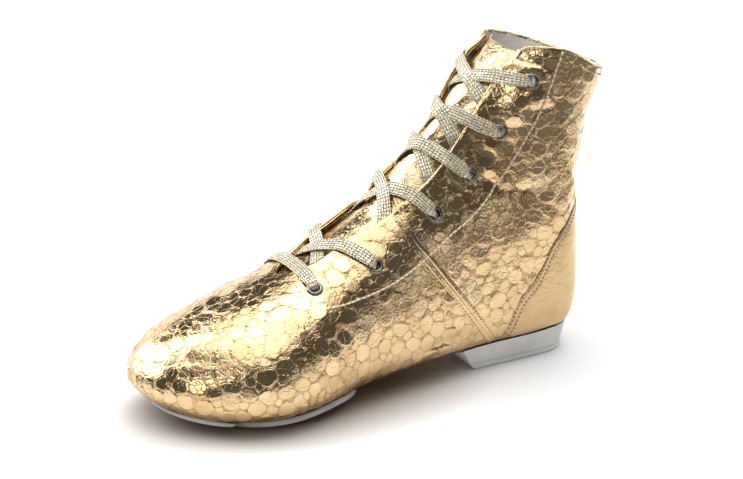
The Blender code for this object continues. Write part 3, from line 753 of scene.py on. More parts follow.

# Main creases of the soft leather: first and last place as station and turn, how far the
# middle bends off in turn, half width in mm, height in mm (a trough is below 0)
CREASES = (
    ("collar_trough", (15.70, 0.84), (15.80, 0.62), 0.00, 2.6, -1.3),
    ("collar_roll", (15.40, 0.83), (15.55, 0.60), 0.01, 3.0, 0.7),
    ("shaft_fold", (14.72, 0.68), (15.40, 0.54), 0.01, 1.5, 0.8),
    ("shaft_fold_foot", (14.45, 0.67), (15.15, 0.52), 0.01, 1.8, -0.9),
    ("eyelet_dent", (13.75, 0.79), (13.40, 0.66), 0.02, 2.4, -0.9),
    ("eyelet_fold", (13.05, 0.80), (12.85, 0.66), 0.02, 2.2, 0.7),
    ("ankle_trough", (11.55, 0.80), (12.20, 0.66), 0.015, 2.2, -1.1),
    ("ankle_roll", (12.10, 0.79), (12.65, 0.64), 0.015, 2.4, 0.7),
    ("ankle_front", (10.55, 0.83), (10.95, 0.70), 0.01, 2.0, -0.8),
    ("facing_swell", (14.00, 0.72), (15.45, 0.69), 0.00, 7.0, 2.2),
    ("ankle_swell", (9.90, 0.715), (13.20, 0.470), 0.00, 17.0, 2.2),
    ("back_dent", (14.45, 0.34), (14.25, 0.08), 0.00, 3.4, -1.1),
    ("back_roll", (14.85, 0.30), (14.75, 0.02), 0.00, 4.0, 0.6),
    ("back_high", (15.35, 0.34), (15.30, 0.06), 0.00, 3.0, -0.7),
    ("arch_ridge", (8.25, 0.285), (9.10, 0.262), 0.012, 2.0, 0.6),
    ("arch_trough", (8.36, 0.315), (9.30, 0.288), 0.010, 2.0, -0.6),
    ("arch_second", (8.00, 0.24), (8.75, 0.225), 0.008, 1.6, -0.9),
    ("heel_fold", (9.00, 0.325), (9.72, 0.312), 0.012, 1.6, 0.35),
    ("vamp_line", (8.34, 0.54), (8.84, 0.465), 0.00, 1.1, 0.5),
    ("vamp_flex", (6.20, 0.62), (6.75, 0.38), 0.02, 3.0, -0.6),
    ("vamp_flex_low", (5.55, 0.55), (6.00, 0.34), 0.02, 2.6, -0.5),
    ("toe_dip", (2.60, 0.74), (3.60, 0.62), 0.02, 3.2, -0.45),
    ("toe_roll", (2.05, 0.60), (2.75, 0.45), 0.02, 3.0, 0.4),
    ("inner_collar_trough", (15.68, -0.83), (15.78, -0.60), 0.00, 2.8, -1.2),
    ("inner_shaft_fold", (14.60, -0.72), (15.25, -0.52), -0.01, 1.9, -0.9),
    ("inner_eyelet_dent", (13.60, -0.80), (13.30, -0.64), -0.02, 2.4, -0.9),
    ("inner_ankle_trough", (11.45, -0.81), (12.15, -0.64), -0.015, 2.3, -1.1),
    ("inner_ankle_roll", (12.00, -0.80), (12.60, -0.66), -0.015, 2.4, 0.7),
    ("inner_back_dent", (14.50, -0.32), (14.30, -0.06), 0.00, 3.4, -1.0),
    ("inner_arch_trough", (7.90, -0.33), (8.90, -0.28), -0.012, 1.7, -1.2),
    ("inner_arch_ridge", (7.80, -0.29), (8.80, -0.25), -0.012, 1.6, 1.0),
    ("inner_arch_high", (7.40, -0.40), (8.30, -0.34), -0.012, 2.0, -0.8),
    ("inner_flex", (6.15, -0.64), (6.65, -0.40), -0.02, 3.0, -0.7),
    ("inner_flex_low", (5.50, -0.58), (5.95, -0.34), -0.02, 2.6, -0.5),
    ("inner_toe_dip", (2.80, -0.74), (3.60, -0.58), -0.02, 3.2, -0.45),
)
CREASE_STEPS = 40
CREASE_REACH = 3
CREASE_ENDS = (0.02, 0.98)
CREASE_FADE = 0.7


def creases():
    """Soft troughs and ridges, which fade out at both ends."""
    total = np.zeros(TURN.shape)
    for _, start, end, bend, width, height in CREASES:
        middle = (np.add(start, end) / 2) + (0.0, bend)
        reach = CREASE_REACH * width
        distance, share = near_line(BASE, skin_line((start, middle, end), CREASE_STEPS), reach)
        fade = np.sin(np.pi * np.clip(share, *CREASE_ENDS)) ** CREASE_FADE
        total += height * hump(distance, width) * fade * (distance < reach)
    return total


# Gathers at the forefoot patch: their spacing, how their places and depths vary round the patch, how sharp
# they are, and where they fade out: outwards, under the patch, up the side and towards the arch
PUCKER_BEAT = 23
PUCKER_DRIFT = ((2.2, 3, 0), (1.3, 7, 1))
PUCKER_DEPTH = 0.35
PUCKER_DEPTH_DRIFT = (0.3, 5, 0.7)
PUCKER_POWER = 1.5
PUCKER_OUTER = (16, 3)
PUCKER_INNER = (-2.5, 1.0)
PUCKER_SIDE = (0.35, -0.2)
PUCKER_BEHIND = 12


def puckers():
    """Gathers of the leather where it is drawn under the forefoot patch."""
    angle, outside = patch_angle(BASE)
    beat = angle * PUCKER_BEAT + sum(swings(angle, *drift) for drift in PUCKER_DRIFT)
    depth = PUCKER_DEPTH + swings(angle, *PUCKER_DEPTH_DRIFT)
    reach = smooth(outside, *PUCKER_OUTER) * smooth(outside, *PUCKER_INNER)
    reach *= smooth(OUTWARD[..., 2], *PUCKER_SIDE)
    ahead = BASE[..., 0] > PATCH_CENTRE[0] - PATCH_REAR - PUCKER_BEHIND
    return -depth * np.abs(np.sin(beat)) ** PUCKER_POWER * reach * ahead


# Where other pieces lie on the leather: soft edges in mm, and in the normal's rise for pieces underneath.
# The leather lies calm over a wider edge
COUNTER_COVER = (0.2, 1.2)
COUNTER_CALM = (-9.0, 0.0)
SEAM_COVER = (3.0, 2.2)
SEAM_CALM = (8.0, 3.0)
SEAM_REACH = 9
SEAM_LINE_STEPS = 160
PATCH_COVER = (1.5, -0.5)
PATCH_FACES = (-0.2, -0.45)
HEEL_COVER = (-1.5, 0.5)
HEEL_FACES = (-0.35, -0.6)


def covered():
    """1 where another piece lies on the leather, and 1 where the leather has to lie calm."""
    to_counter = (counter_turn(STATION) - np.abs(TURN)) * SIDE_LENGTH
    _, outside = patch_angle(BASE)
    by_patch = smooth(outside, *PATCH_COVER) * smooth(OUTWARD[..., 2], *PATCH_FACES)
    by_heel = smooth(BREAST_TOP_X - BASE[..., 0], *HEEL_COVER) * smooth(OUTWARD[..., 2], *HEEL_FACES)
    below = np.maximum(by_patch, by_heel)
    seams = [skin_line(np.array(SEAM_LINE) * (1, side), SEAM_LINE_STEPS) for _, side in SIDES]
    to_seam = np.min([near_line(BASE, seam, SEAM_REACH)[0] for seam in seams], axis=0)
    return [np.maximum.reduce((smooth(to_counter, *counter), below, smooth(to_seam, *seam)))
            for counter, seam in ((COUNTER_COVER, SEAM_COVER), (COUNTER_CALM, SEAM_CALM))]


# Scale-like plates: smallest and largest radius and number of tries of each pass, the gap between two,
# tilt, squash and waviness of the outline, rise, softness of the edge, how flat the top is, how round the
# corners are, groove between two, growth past the radius, and limits of tilt and move
PLATE_PASSES = ((3.0, 4.0, 7000), (2.1, 2.9, 24000), (1.3, 1.9, 26000))
PLATE_GAP = 0.4
PLATE_TILT_DEG = 3.0
PLATE_TILT_LIMIT = 2.2
PLATE_SQUASH = (0.84, 1.0)
PLATE_WAVINESS = (0.05, 0.04)
PLATE_RISE = 0.05
PLATE_EDGE = 0.40
PLATE_NEIGHBOURS = 6
PLATE_FLATNESS = 0.62
PLATE_CORNER = 1.2
PLATE_GROOVE = 0.22
PLATE_GROWTH = 1.2
PLATE_MOVE_LIMIT = 0.6
PLATE_STEEPEST = 0.5
PLATE_TONE_FROM = 0.3
PLAIN_TONE = 0.5
FAR_OUTSIDE = -50.0
BORDER_REACH = 1.0
PLAIN_BORDER = 0.8


def plate_seeds(points, allowed):
    """Centres and radii of the plates, thrown at random on the points, the large ones first."""
    cell = 2 * PLATE_PASSES[0][1] + PLATE_GAP
    bins, centres, radii = {}, [], []
    choices = np.flatnonzero(allowed)
    around = [(x, y, z) for x in (-1, 0, 1) for y in (-1, 0, 1) for z in (-1, 0, 1)]
    for low, high, tries in PLATE_PASSES:
        picks = rng.choice(choices, tries)
        spots = points[picks].tolist()
        for pick, spot, radius in zip(picks, spots, rng.uniform(low, high, tries)):
            key = tuple(int(v // cell) for v in spot)
            found = [other for step in around
                     for other in bins.get((key[0] + step[0], key[1] + step[1], key[2] + step[2]), ())]
            if all(math.dist(spot, other[:3]) > radius + other[3] + PLATE_GAP for other in found):
                bins.setdefault(key, []).append((*spot, radius))
                centres.append(pick)
                radii.append(radius)
    return np.array(centres), np.array(radii)


def on_plate(border):
    """1 on a plate and 0 in the grooves, with a soft edge."""
    return smooth(border, -PLATE_EDGE, PLATE_EDGE)


def plates(points, outward, allowed):
    """Flat, slightly tilted plates: how far each point moves, how far it lies inside a plate's edge, and
    the plate's tone."""
    flat_points, flat_out = points.reshape(-1, 3), outward.reshape(-1, 3)
    centres, radii = plate_seeds(flat_points, allowed.ravel())
    count = len(centres)
    tree = kdtree.KDTree(count)
    for k, pick in enumerate(centres):
        tree.insert(flat_points[pick], k)
    tree.balance()
    near = np.array([[hit[1] for hit in tree.find_n(p, PLATE_NEIGHBOURS)] for p in flat_points])
    facing = flat_out[centres]
    first = unit(np.cross(facing, rng.normal(size=(count, 3))))
    second = np.cross(facing, first)
    lean = rng.normal(size=(2, count, 1)).clip(-PLATE_TILT_LIMIT, PLATE_TILT_LIMIT)
    tilt = np.radians(PLATE_TILT_DEG) * lean
    plane = unit(facing + first * tilt[0] + second * tilt[1])
    squash = rng.uniform(*PLATE_SQUASH, count)
    phase = rng.uniform(0, 2 * np.pi, (2, count))
    tone = rng.uniform(0, 1, count)
    inside, level = np.empty((2, len(flat_points), PLATE_NEIGHBOURS))
    for n, column in enumerate(near.T):
        offset = flat_points - flat_points[centres[column]]
        a = (offset * first[column]).sum(axis=1)
        b = (offset * second[column]).sum(axis=1) / squash[column]
        angle = np.arctan2(b, a)
        edge = radii[column] * (1 + swings(angle, PLATE_WAVINESS[0], 2, phase[0][column])
                                + swings(angle, PLATE_WAVINESS[1], 3, phase[1][column]))
        inside[:, n] = edge - np.hypot(a, b)
        steep = (flat_out * plane[column]).sum(axis=1).clip(PLATE_STEEPEST)
        level[:, n] = -(offset * plane[column]).sum(axis=1) / steep
    mine = inside.argmax(axis=1)
    index = np.arange(len(flat_points))
    best = inside[index, mine]
    others = inside.copy()
    others[index, mine] = FAR_OUTSIDE
    next_best = np.log(np.exp(PLATE_CORNER * (others - best[:, None])).sum(axis=1)) / PLATE_CORNER
    border = np.minimum(-next_best / 2 - PLATE_GROOVE, best + PLATE_GROWTH)
    border = np.where(allowed.ravel(), border, -BORDER_REACH).clip(-BORDER_REACH, BORDER_REACH)
    plate = on_plate(border)
    move = PLATE_FLATNESS * level[index, mine].clip(-PLATE_MOVE_LIMIT, PLATE_MOVE_LIMIT) * plate
    tones = np.where(plate > PLATE_TONE_FROM, tone[near[index, mine]], PLAIN_TONE)
    shape = points.shape[:-1]
    return move.reshape(shape), border.reshape(shape), tones.reshape(shape)


def grid_normals(points):
    """Normals of the leather's grid, whose first and last columns meet in front of the throat."""
    along = np.gradient(points, axis=0)
    across = np.gradient(points, axis=1)
    closed = slice(0, FIRST_OPEN)
    across[closed, 0] = across[closed, -1] = (points[closed, 1] - points[closed, -2]) / 2
    return unit(np.cross(along, across))


# Sag of the leather and grain of its ground and plates, as height, size and seed
SAG_LARGE = (0.42, 23, 1)
SAG_SMALL = (0.24, 9, 2)
GROUND_LARGE = (0.05, 3.0, 3)
GROUND_SMALL = (0.03, 1.5, 4)
GROUND_DROP = 0.03
PLATE_GRAIN = (0.03, 2.8, 5)
COVERED_DROP = 0.3

# How far the throat's inner and outer edges stand up, between which stations past its start that comes,
# and over what distance. Width of the plain hem along them and its start
EDGE_LIFT = (1.5, 0.5)
EDGE_LIFT_START = (0.2, 1.5)
EDGE_LIFT_REACH = 7.0
HEM = 2.4
HEM_START = -0.2

# Distances from an eyelet's centre over which the folds and the plates' rise come up, and where plates
# start. First station with plates
FOLDS_AT_EYELET = (4.2, 8.0)
RISE_AT_EYELET = (4.0, 6.0)
PLATES_AT_EYELET = 4.4
PLATES_FROM = 0.25


def shape_leather():
    """Points of the leather with its softness, creases, gathers and plates, and the plates' attributes."""
    to_eyelet = np.min([np.linalg.norm(BASE - spot, axis=-1) for spot in EYELET_CENTRES], axis=0)
    below, calm = covered()
    free = (1 - calm) * smooth(to_eyelet, *FOLDS_AT_EYELET)
    sag = waves(BASE, *SAG_LARGE) + waves(BASE, *SAG_SMALL)
    folds = creases() + puckers()
    lift = np.where(TURN < 0, *EDGE_LIFT) * smooth(STATION - THROAT_START, *EDGE_LIFT_START)
    folds += lift * smooth(FROM_EDGE, EDGE_LIFT_REACH, 0.0)
    soft = BASE + OUTWARD * ((sag + folds) * free)[..., None]
    outward = grid_normals(soft)
    hem = (FROM_EDGE <= HEM) & (STATION > THROAT_START + HEM_START)
    allowed = (below < 0.5) & (to_eyelet > PLATES_AT_EYELET) & (STATION > PLATES_FROM) & ~hem
    move, border, tone = plates(soft, outward, allowed)
    border = np.where(hem, PLAIN_BORDER, border)
    plate = on_plate(border)
    ground = (1 - plate) * (waves(BASE, *GROUND_LARGE) + waves(BASE, *GROUND_SMALL) - GROUND_DROP)
    rise = move + PLATE_RISE * plate + ground + plate * waves(BASE, *PLATE_GRAIN)
    rise = rise * smooth(to_eyelet, *RISE_AT_EYELET) * (1 - below) - COVERED_DROP * below
    return soft + outward * rise[..., None], border, tone


LEATHER, BORDER, TONE = shape_leather()
LEATHER_OUT = grid_normals(LEATHER)


def on_leather(t, turn, out):
    """Points of the leather at stations and turns, moved out, and the normals there."""
    row = np.interp(t, ROW_T, np.arange(ROWS)).clip(0, ROWS - 1.001)
    low, high = np.interp(t, ROW_T, LOW_TURN), np.interp(t, ROW_T, HIGH_TURN)
    column = ((turn - low) / (high - low) * LEATHER_COLUMNS).clip(0, LEATHER_COLUMNS - 0.001)
    outward = unit(between(LEATHER_OUT, row, column))
    return between(LEATHER, row, column) + outward * out, outward


# Rolled edges of throat and collar: how far past the edge, and how deep. The throat's roll is full from
# this half gap on
THROAT_ROLL = ((0.40, -0.12), (0.80, -0.65), (0.78, -1.40), (0.40, -2.10), (-0.50, -2.30))
RIM_ROLL = ((0.35, -0.15), (0.60, -0.70), (0.52, -1.10), (0.25, -1.45), (-0.60, -1.62))
FULL_ROLL_GAP = 3
TIP_VALUE = 0.5

# Holes for the eyelets. Points in the outer part of a hole move to its edge
HOLE_RADIUS = 2.9
HOLE_EDGE_FROM = 0.72 * HOLE_RADIUS
HOLE_DEPTH = 6


def punch(points):
    """Moves points to the edges of the eyelets' holes, and says which ones lie inside a hole."""
    inside = np.zeros(len(points), bool)
    for (_, _, t, d), centre in zip(EYELET_SPOTS, EYELET_CENTRES):
        axis = normals(t, ridge_turn(t, d))
        offset = points - centre
        radial = offset - np.outer(offset @ axis, axis)
        reach = np.linalg.norm(radial, axis=1)
        close = (np.linalg.norm(offset, axis=1) < HOLE_DEPTH) & (reach < HOLE_RADIUS)
        edge = close & (reach > HOLE_EDGE_FROM)
        points[edge] += radial[edge] / reach[edge, None] * (HOLE_RADIUS - reach[edge])[:, None]
        inside |= close & ~edge
    return inside


def make_leather(material):
    """Outer leather with rolled edges and punched holes, in two pieces that meet at a row."""
    fold = len(THROAT_ROLL)
    past, depth = np.array(THROAT_ROLL).T
    rim_past, rim_depth = np.array(RIM_ROLL).T
    middle = np.zeros(LEATHER_COLUMNS + 1)
    column = np.arange(-fold, LEATHER_COLUMNS + 1 + fold).clip(0, LEATHER_COLUMNS)
    column_past = np.concatenate((past[::-1], middle, past))
    column_depth = np.concatenate((depth[::-1], middle, depth))
    row = np.arange(ROWS + fold).clip(0, ROWS - 1)
    row_past = np.concatenate((np.zeros(ROWS), rim_past))
    row_depth = np.concatenate((np.zeros(ROWS), rim_depth))
    sideways = unit(np.gradient(LEATHER, axis=1))
    sideways[:, 0] *= -1
    upward = unit(LEATHER[-1] - LEATHER[-4])
    room = np.minimum(1.0, ROW_GAP / FULL_ROLL_GAP)
    outward = LEATHER_OUT[row][:, column]
    points = LEATHER[row][:, column].copy()
    points += sideways[row][:, column] * (column_past * room[row][:, None])[..., None]
    points += upward[column] * row_past[:, None, None]
    points += outward * np.minimum(row_depth[:, None], column_depth)[..., None]
    flat = points.reshape(-1, 3)
    last = fold + LEATHER_COLUMNS
    number = np.arange(len(flat)).reshape(len(row), len(column))
    number[:FIRST_OPEN + 1, last] = number[:FIRST_OPEN + 1, fold]
    inside = punch(flat)
    corners = np.stack((number[:-1, :-1], number[:-1, 1:], number[1:, 1:], number[1:, :-1]), axis=-1)
    kept = ~inside[corners].any(axis=-1)
    kept[:FIRST_OPEN, :fold] = kept[:FIRST_OPEN, last:] = False
    tip = np.array((LENGTH, CURVES["middle"](0), CURVES["ridge_z"](0)))
    flat = np.concatenate((flat, [tip]))
    nose = number[0, fold:last + 1]
    fan = [(len(flat) - 1, b, a) for a, b in zip(nose, nose[1:])]
    values = {key: np.append(grid[row][:, column].ravel(), TIP_VALUE)
              for key, grid in (("border", BORDER), ("tone", TONE))}
    on_split = number[SPLIT_ROW, fold:last + 1]
    for name, start, end, extra in (("upper_front", 0, SPLIT_ROW, fan),
                                    ("upper_back", SPLIT_ROW, len(row) - 1, [])):
        faces = [tuple(face) for face in corners[start:end][kept[start:end]].tolist()] + extra
        used, order, faces = compact(faces, len(flat))
        attributes = {key: some[used] for key, some in values.items()}
        piece = make_piece(name, flat[used], faces, material, "foil_leather", ["upper"], attributes)
        shared = np.zeros((len(used), 3))
        shared[order[on_split]] = outward.reshape(-1, 3)[on_split]
        piece.data.normals_split_custom_set_from_vertices(shared.tolist())


LINING_STEP = 5
LINING_EDGE_LIFT = 0.25
LINING_HOLE = HOLE_RADIUS + 0.6
LINING_MEASURE_COLUMN = 60


def make_lining(material):
    """Cloth inside the leather, from edge to edge."""
    rows = np.append(np.arange(0, ROWS - 1, LINING_STEP), ROWS - 1)
    columns = np.arange(0, LEATHER_COLUMNS + 1, LINING_STEP)
    outside = BASE + OUTWARD * (waves(BASE, *SAG_LARGE) - WALL)[..., None]
    lift = np.zeros(TURN.shape)
    lift[-1] = LINING_EDGE_LIFT
    lift[FIRST_OPEN:, (0, -1)] = LINING_EDGE_LIFT
    points = (outside + OUTWARD * lift[..., None])[rows][:, columns]
    holes = [np.linalg.norm(points - spot, axis=-1) < LINING_HOLE for spot in EYELET_CENTRES]
    hole = np.any(holes, axis=0).ravel()
    open_row = np.searchsorted(rows, FIRST_OPEN)
    count = len(columns)
    number = np.arange(points.shape[0] * count).reshape(-1, count)
    number[:open_row + 1, -1] = number[:open_row + 1, 0]
    corners = np.stack((number[:-1, :-1], number[1:, :-1], number[1:, 1:], number[:-1, 1:]), axis=-1)
    faces = corners[~hole[corners].any(axis=-1)].tolist()
    run = run_along(BASE[:, LINING_MEASURE_COLUMN])
    across = np.sign(TURN) * FROM_RIDGE
    cloth_map = np.stack((across[rows][:, columns], np.repeat(run[rows][:, None], count, axis=1)), axis=-1)
    used, _, faces = compact(faces, number.size)
    piece = make_piece("upper_lining", points.reshape(-1, 3)[used], faces, material, "lining")
    add_map(piece, "cloth", cloth_map.reshape(-1, 2)[used])


def heel_sides(front_x, inset, steps=(20, 64)):
    """The heel's U in plan, from its inner front corner round the back to the outer one."""
    half = HEEL_HALF_WIDTH - inset
    back = HEEL_BACK_X + inset
    side_x = np.linspace(front_x, HEEL_ROUND_FROM_X, steps[0] + 1)[:-1]
    swing = np.linspace(0, np.pi, steps[1] + 1)
    c, s = np.cos(swing), np.sin(swing).clip(0)
    across = -np.sign(c) * np.abs(c) ** (2 / HEEL_POWER) * half
    arc = np.column_stack((HEEL_ROUND_FROM_X - (HEEL_ROUND_FROM_X - back) * s ** (2 / HEEL_POWER), across))
    inner = np.column_stack((side_x, np.full(len(side_x), -half)))
    return np.concatenate((inner, arc, inner[::-1] * (1, -1)))


def plain_foil(points):
    """Attributes of foil without plates."""
    return {"border": np.full(len(points), PLAIN_BORDER), "tone": np.full(len(points), PLAIN_TONE)}


# Counter: its grid, how far its foot stands out from the heel, top, back and thickness, rounding of its
# edge, width of a column, soft lumps and the distance over which they come up, dents along its stitches
COUNTER_ROWS = 44
COUNTER_COLUMNS = 150
COUNTER_FOOT_OUT = 0.9
COUNTER_MIDDLE = 0.35
COUNTER_TOP = 0.02
COUNTER_BACK = -0.25
COUNTER_THICKNESS = 0.26
COUNTER_ROUND = 0.6
COUNTER_COLUMN = 1.7
COUNTER_LUMPS = (((0.14, 16, 6), 9), ((0.06, 5, 7), 4))
COUNTER_STITCHES = (1.4, 4.8)
STITCH_DENT = 0.16
STITCH_DENT_WIDTH = 0.55


def counter_places():
    """Grid of station and turn from the counter's foot to its upper edge."""
    outer = np.array(COUNTER_EDGE)
    edge = through(np.concatenate((outer[:0:-1] * (1, -1), outer)), COUNTER_COLUMNS)
    foot = np.column_stack(under(*evenly(heel_sides(COUNTER_FRONT_X, -COUNTER_FOOT_OUT), len(edge)).T))
    shares = np.linspace(0, 1, COUNTER_ROWS)[:, None, None]
    return foot + (edge - foot) * shares


COUNTER = counter_places()
COUNTER_POINTS = on_places(COUNTER, COUNTER_MIDDLE)
FROM_COUNTER_EDGE = np.linalg.norm(COUNTER_POINTS - COUNTER_POINTS[-1], axis=-1)


def make_counter(material):
    """Smooth overlay round the back of the heel."""
    reach = FROM_COUNTER_EDGE
    side = np.minimum(np.arange(COUNTER_COLUMNS + 1), np.arange(COUNTER_COLUMNS, -1, -1)) * COUNTER_COLUMN
    top = COUNTER_TOP + COUNTER_THICKNESS * rounded(np.minimum(reach, side), COUNTER_ROUND)
    for lumps, fade in COUNTER_LUMPS:
        top += waves(COUNTER_POINTS, *lumps) * smooth(reach, 0, fade)
    for inset in COUNTER_STITCHES:
        top -= STITCH_DENT * hump(reach - inset, STITCH_DENT_WIDTH)
    points, faces = slab(on_places(COUNTER, top), on_places(COUNTER, COUNTER_BACK))
    make_piece("heel_counter_leather", points, faces, material, "foil_leather", ["heel_counter"],
               plain_foil(points))


# Side seam: offset and height across it from its groove to an edge, the same on both sides, its base and
# underside, soft lumps, and how the stitches pull it in
SEAM_HALF_PROFILE = ((0.0, -0.25), (0.2, 0.08), (0.5, 0.24), (0.9, 0.22), (1.5, 0.10), (2.1, 0.02),
                     (2.5, -0.02), (3.0, -0.25))
SEAM_STEPS = 110
SEAM_TOP = 0.16
SEAM_BACK = -0.6
SEAM_LUMPS = (0.10, 4, 8)
SEAM_PULL = 0.10
SEAM_PULL_STEPS = 3.1
SEAM_STITCHES = (-2.1, 2.1)


def seam_frame(side):
    """Places along the side seam, and the change of station and turn for a step of 1 mm across it."""
    line = through(SEAM_LINE, SEAM_STEPS) * (1, side)
    ways = np.gradient(line, axis=0)
    by_station, by_turn = slopes(*line.T)
    along = unit(ways[:, :1] * by_station + ways[:, 1:] * by_turn)
    sideways = np.cross(normals(*line.T), along)
    across = [np.linalg.lstsq(np.column_stack(pair), way, rcond=None)[0]
              for *pair, way in zip(by_station, by_turn, sideways)]
    return line, np.array(across)


def make_side_seam(word, side, material):
    """Raised seam with a groove along its middle, pulled in a little at each stitch."""
    line, across = seam_frame(side)
    half = np.array(SEAM_HALF_PROFILE)
    offsets, heights = np.concatenate((half[:0:-1] * (-1, 1), half)).T
    places = line[:, None] + across[:, None] * offsets[:, None]
    pull = 1 + SEAM_PULL * np.sin(np.arange(SEAM_STEPS + 1) * 2 * np.pi / SEAM_PULL_STEPS)[:, None]
    top = SEAM_TOP + heights * pull + waves(on_places(places, 0.0), *SEAM_LUMPS)
    points, faces = slab(on_places(places, top), on_places(places, SEAM_BACK))
    name = f"side_seam_{word}"
    make_piece(f"{name}_leather", points, faces, material, "foil_leather", [name], plain_foil(points))


# Tongue: first and last station, how deep it lies and how far it reaches under the facings, at its root
# and from TONGUE_SPREAD stations on, thickness, grid, plain border and end, soft forms, edge
TONGUE_FROM = 5.2
TONGUE_TO = 15.97
TONGUE_ROOT_DROP = 2.0
TONGUE_DROP = 3.2
TONGUE_ROOT_UNDER = 6.0
TONGUE_UNDER = 12.0
TONGUE_SPREAD = 1.6
TONGUE_THICKNESS = 2.0
TONGUE_ROWS = 150
TONGUE_COLUMNS = 60
TONGUE_PLAIN = 3
TONGUE_PLAIN_END = 4
TONGUE_SAG = (0.22, 14, 11)
TONGUE_GROUND = (0.06, 2.2, 12)
TONGUE_HIGHEST = 0.35
TONGUE_EDGE_LEAST = 0.05
TONGUE_EDGE_ROUND = 1.2
TONGUE_EDGE_DROP = 0.9
UPWARDS = (0, 0, 8)


def make_tongue(material):
    """Flap of the same leather under the throat."""
    stations = np.linspace(TONGUE_FROM, TONGUE_TO, TONGUE_ROWS)
    share = np.clip((stations - TONGUE_FROM) / TONGUE_SPREAD, 0, 1)
    drop = TONGUE_ROOT_DROP + (TONGUE_DROP - TONGUE_ROOT_DROP) * share
    reach = TONGUE_ROOT_UNDER + (TONGUE_UNDER - TONGUE_ROOT_UNDER) * share
    half = CURVES["throat"](stations) + reach
    across = np.linspace(-1, 1, TONGUE_COLUMNS) * half[:, None]
    station = np.repeat(stations[:, None], TONGUE_COLUMNS, axis=1)
    edge = half[:, None] - np.abs(across)
    base = skin(station, ridge_turn(station, across), -drop[:, None])
    outward = unit(np.cross(np.gradient(base, axis=0), np.gradient(base, axis=1)))
    outward *= np.sign((outward * (base - base.mean(axis=1, keepdims=True) + UPWARDS)).sum(-1).mean())
    to_end = np.linalg.norm(base - base[-1], axis=-1)
    allowed = (edge > TONGUE_PLAIN) & (to_end > TONGUE_PLAIN_END)
    sag = waves(base, *TONGUE_SAG)
    move, border, tone = plates(base + outward * sag[..., None], outward, allowed)
    plate = on_plate(border)
    rise = sag + move + PLATE_RISE * plate + (1 - plate) * waves(base, *TONGUE_GROUND)
    thin = rounded(np.minimum(edge, to_end) + TONGUE_EDGE_LEAST, TONGUE_EDGE_ROUND)
    edge_drop = (1 - thin) * TONGUE_EDGE_DROP
    top = base + outward * (np.minimum(rise, TONGUE_HIGHEST) - edge_drop)[..., None]
    bottom = base - outward * (TONGUE_THICKNESS - edge_drop)[..., None]
    points, faces = slab(top, bottom)
    attributes = {"border": np.concatenate((border.ravel(), np.full(border.size, -BORDER_REACH))),
                  "tone": np.concatenate((tone.ravel(), np.full(tone.size, PLAIN_TONE)))}
    make_piece("tongue_leather", points, faces, material, "foil_leather", ["tongue"], attributes)


# Insole: first station and length in stations, share of the last's width, power of its round ends and the
# swing left out at them, grid, depth of its underside and of its edge, height, rounding of the edge
INSOLE_FROM = 0.9
INSOLE_STATIONS = 10.75
INSOLE_WIDTH = 0.76
INSOLE_POWER = 5
INSOLE_END = 0.14
INSOLE_ROWS = 90
INSOLE_COLUMNS = 33
INSOLE_UNDERSIDE = WALL + 0.4
INSOLE_EDGE = WALL + 0.5
INSOLE_HEIGHT = 1.9
INSOLE_EDGE_LEAST = 0.1
INSOLE_ROUND = 1.2


def make_insole(material):
    """Cloth-covered sock on the floor of the upper."""
    swing = np.linspace(INSOLE_END, math.pi - INSOLE_END, INSOLE_ROWS)
    t = INSOLE_FROM + INSOLE_STATIONS * (1 - np.cos(swing)) / 2
    share = INSOLE_WIDTH * np.sqrt(1 - np.abs(np.cos(swing)) ** INSOLE_POWER)
    inner = -share * CURVES["inner"](t) / side_length(t, -1)
    outer = share * CURVES["outer"](t) / side_length(t, 1)
    turns = inner[:, None] + (outer - inner)[:, None] * np.linspace(0, 1, INSOLE_COLUMNS)
    edge = np.minimum(turns - inner[:, None], outer[:, None] - turns) * side_length(t, 1)[:, None]
    height = INSOLE_HEIGHT * rounded(edge + INSOLE_EDGE_LEAST, INSOLE_ROUND)
    top = skin(t[:, None], turns, -INSOLE_EDGE - height)
    bottom = skin(t[:, None], turns, np.full(turns.shape, -INSOLE_UNDERSIDE))
    points, faces = slab(bottom, top)
    piece = make_piece("insole_sock", points, faces, material, "lining", ["insole"])
    add_map(piece, "cloth", points[:, 1::-1])


# Forefoot patch: points round it, rings as shares of its reach, how far its upper side and underside lie
# out from the skin, and its cut edge as distance out and growth
PATCH_SPOKES = 168
PATCH_SHARES = (0.08, 0.3, 0.5, 0.68, 0.82, 0.91, 0.96, 0.985)
PATCH_TOP = 0.25
PATCH_UNDERSIDE = 2.95
PATCH_CUT = ((0.3, 0.0), (0.7, 0.15), (1.9, 0.2), (2.5, 0.0), (2.8, -0.5))


def patch_ring(share, out, grow=0.0):
    """Ring of the forefoot patch under the skin, not below the floor."""
    angle = np.linspace(0, 2 * np.pi, PATCH_SPOKES, endpoint=False)
    ring = below_skin(*round_patch(angle, patch_reach(angle) * share + grow), out)
    ring[:, 2] = np.maximum(ring[:, 2], 0.0)
    return ring


def make_forefoot_sole(material):
    """Suede patch under the ball of the foot, flat on the floor, with a cut edge."""
    rings = [patch_ring(share, PATCH_TOP) for share in PATCH_SHARES]
    rings += [patch_ring(1.0, out, grow) for out, grow in PATCH_CUT]
    rings += [patch_ring(share, PATCH_UNDERSIDE) for share in PATCH_SHARES[::-1]]
    make_piece("forefoot_suede", *ring_loft(rings), material, "suede", ["forefoot_sole"])


# Toe crescent: points along and across, about half its length and its width in mm, its upper side, edge,
# thickness and rounding
TOE_STEPS = (70, 18)
TOE_SCALE = (30, 15)
TOE_TOP = 0.25
TOE_EDGE = 0.6
TOE_THICKNESS = 1.4
TOE_EDGE_LEAST = 0.12
TOE_ROUND = 0.8


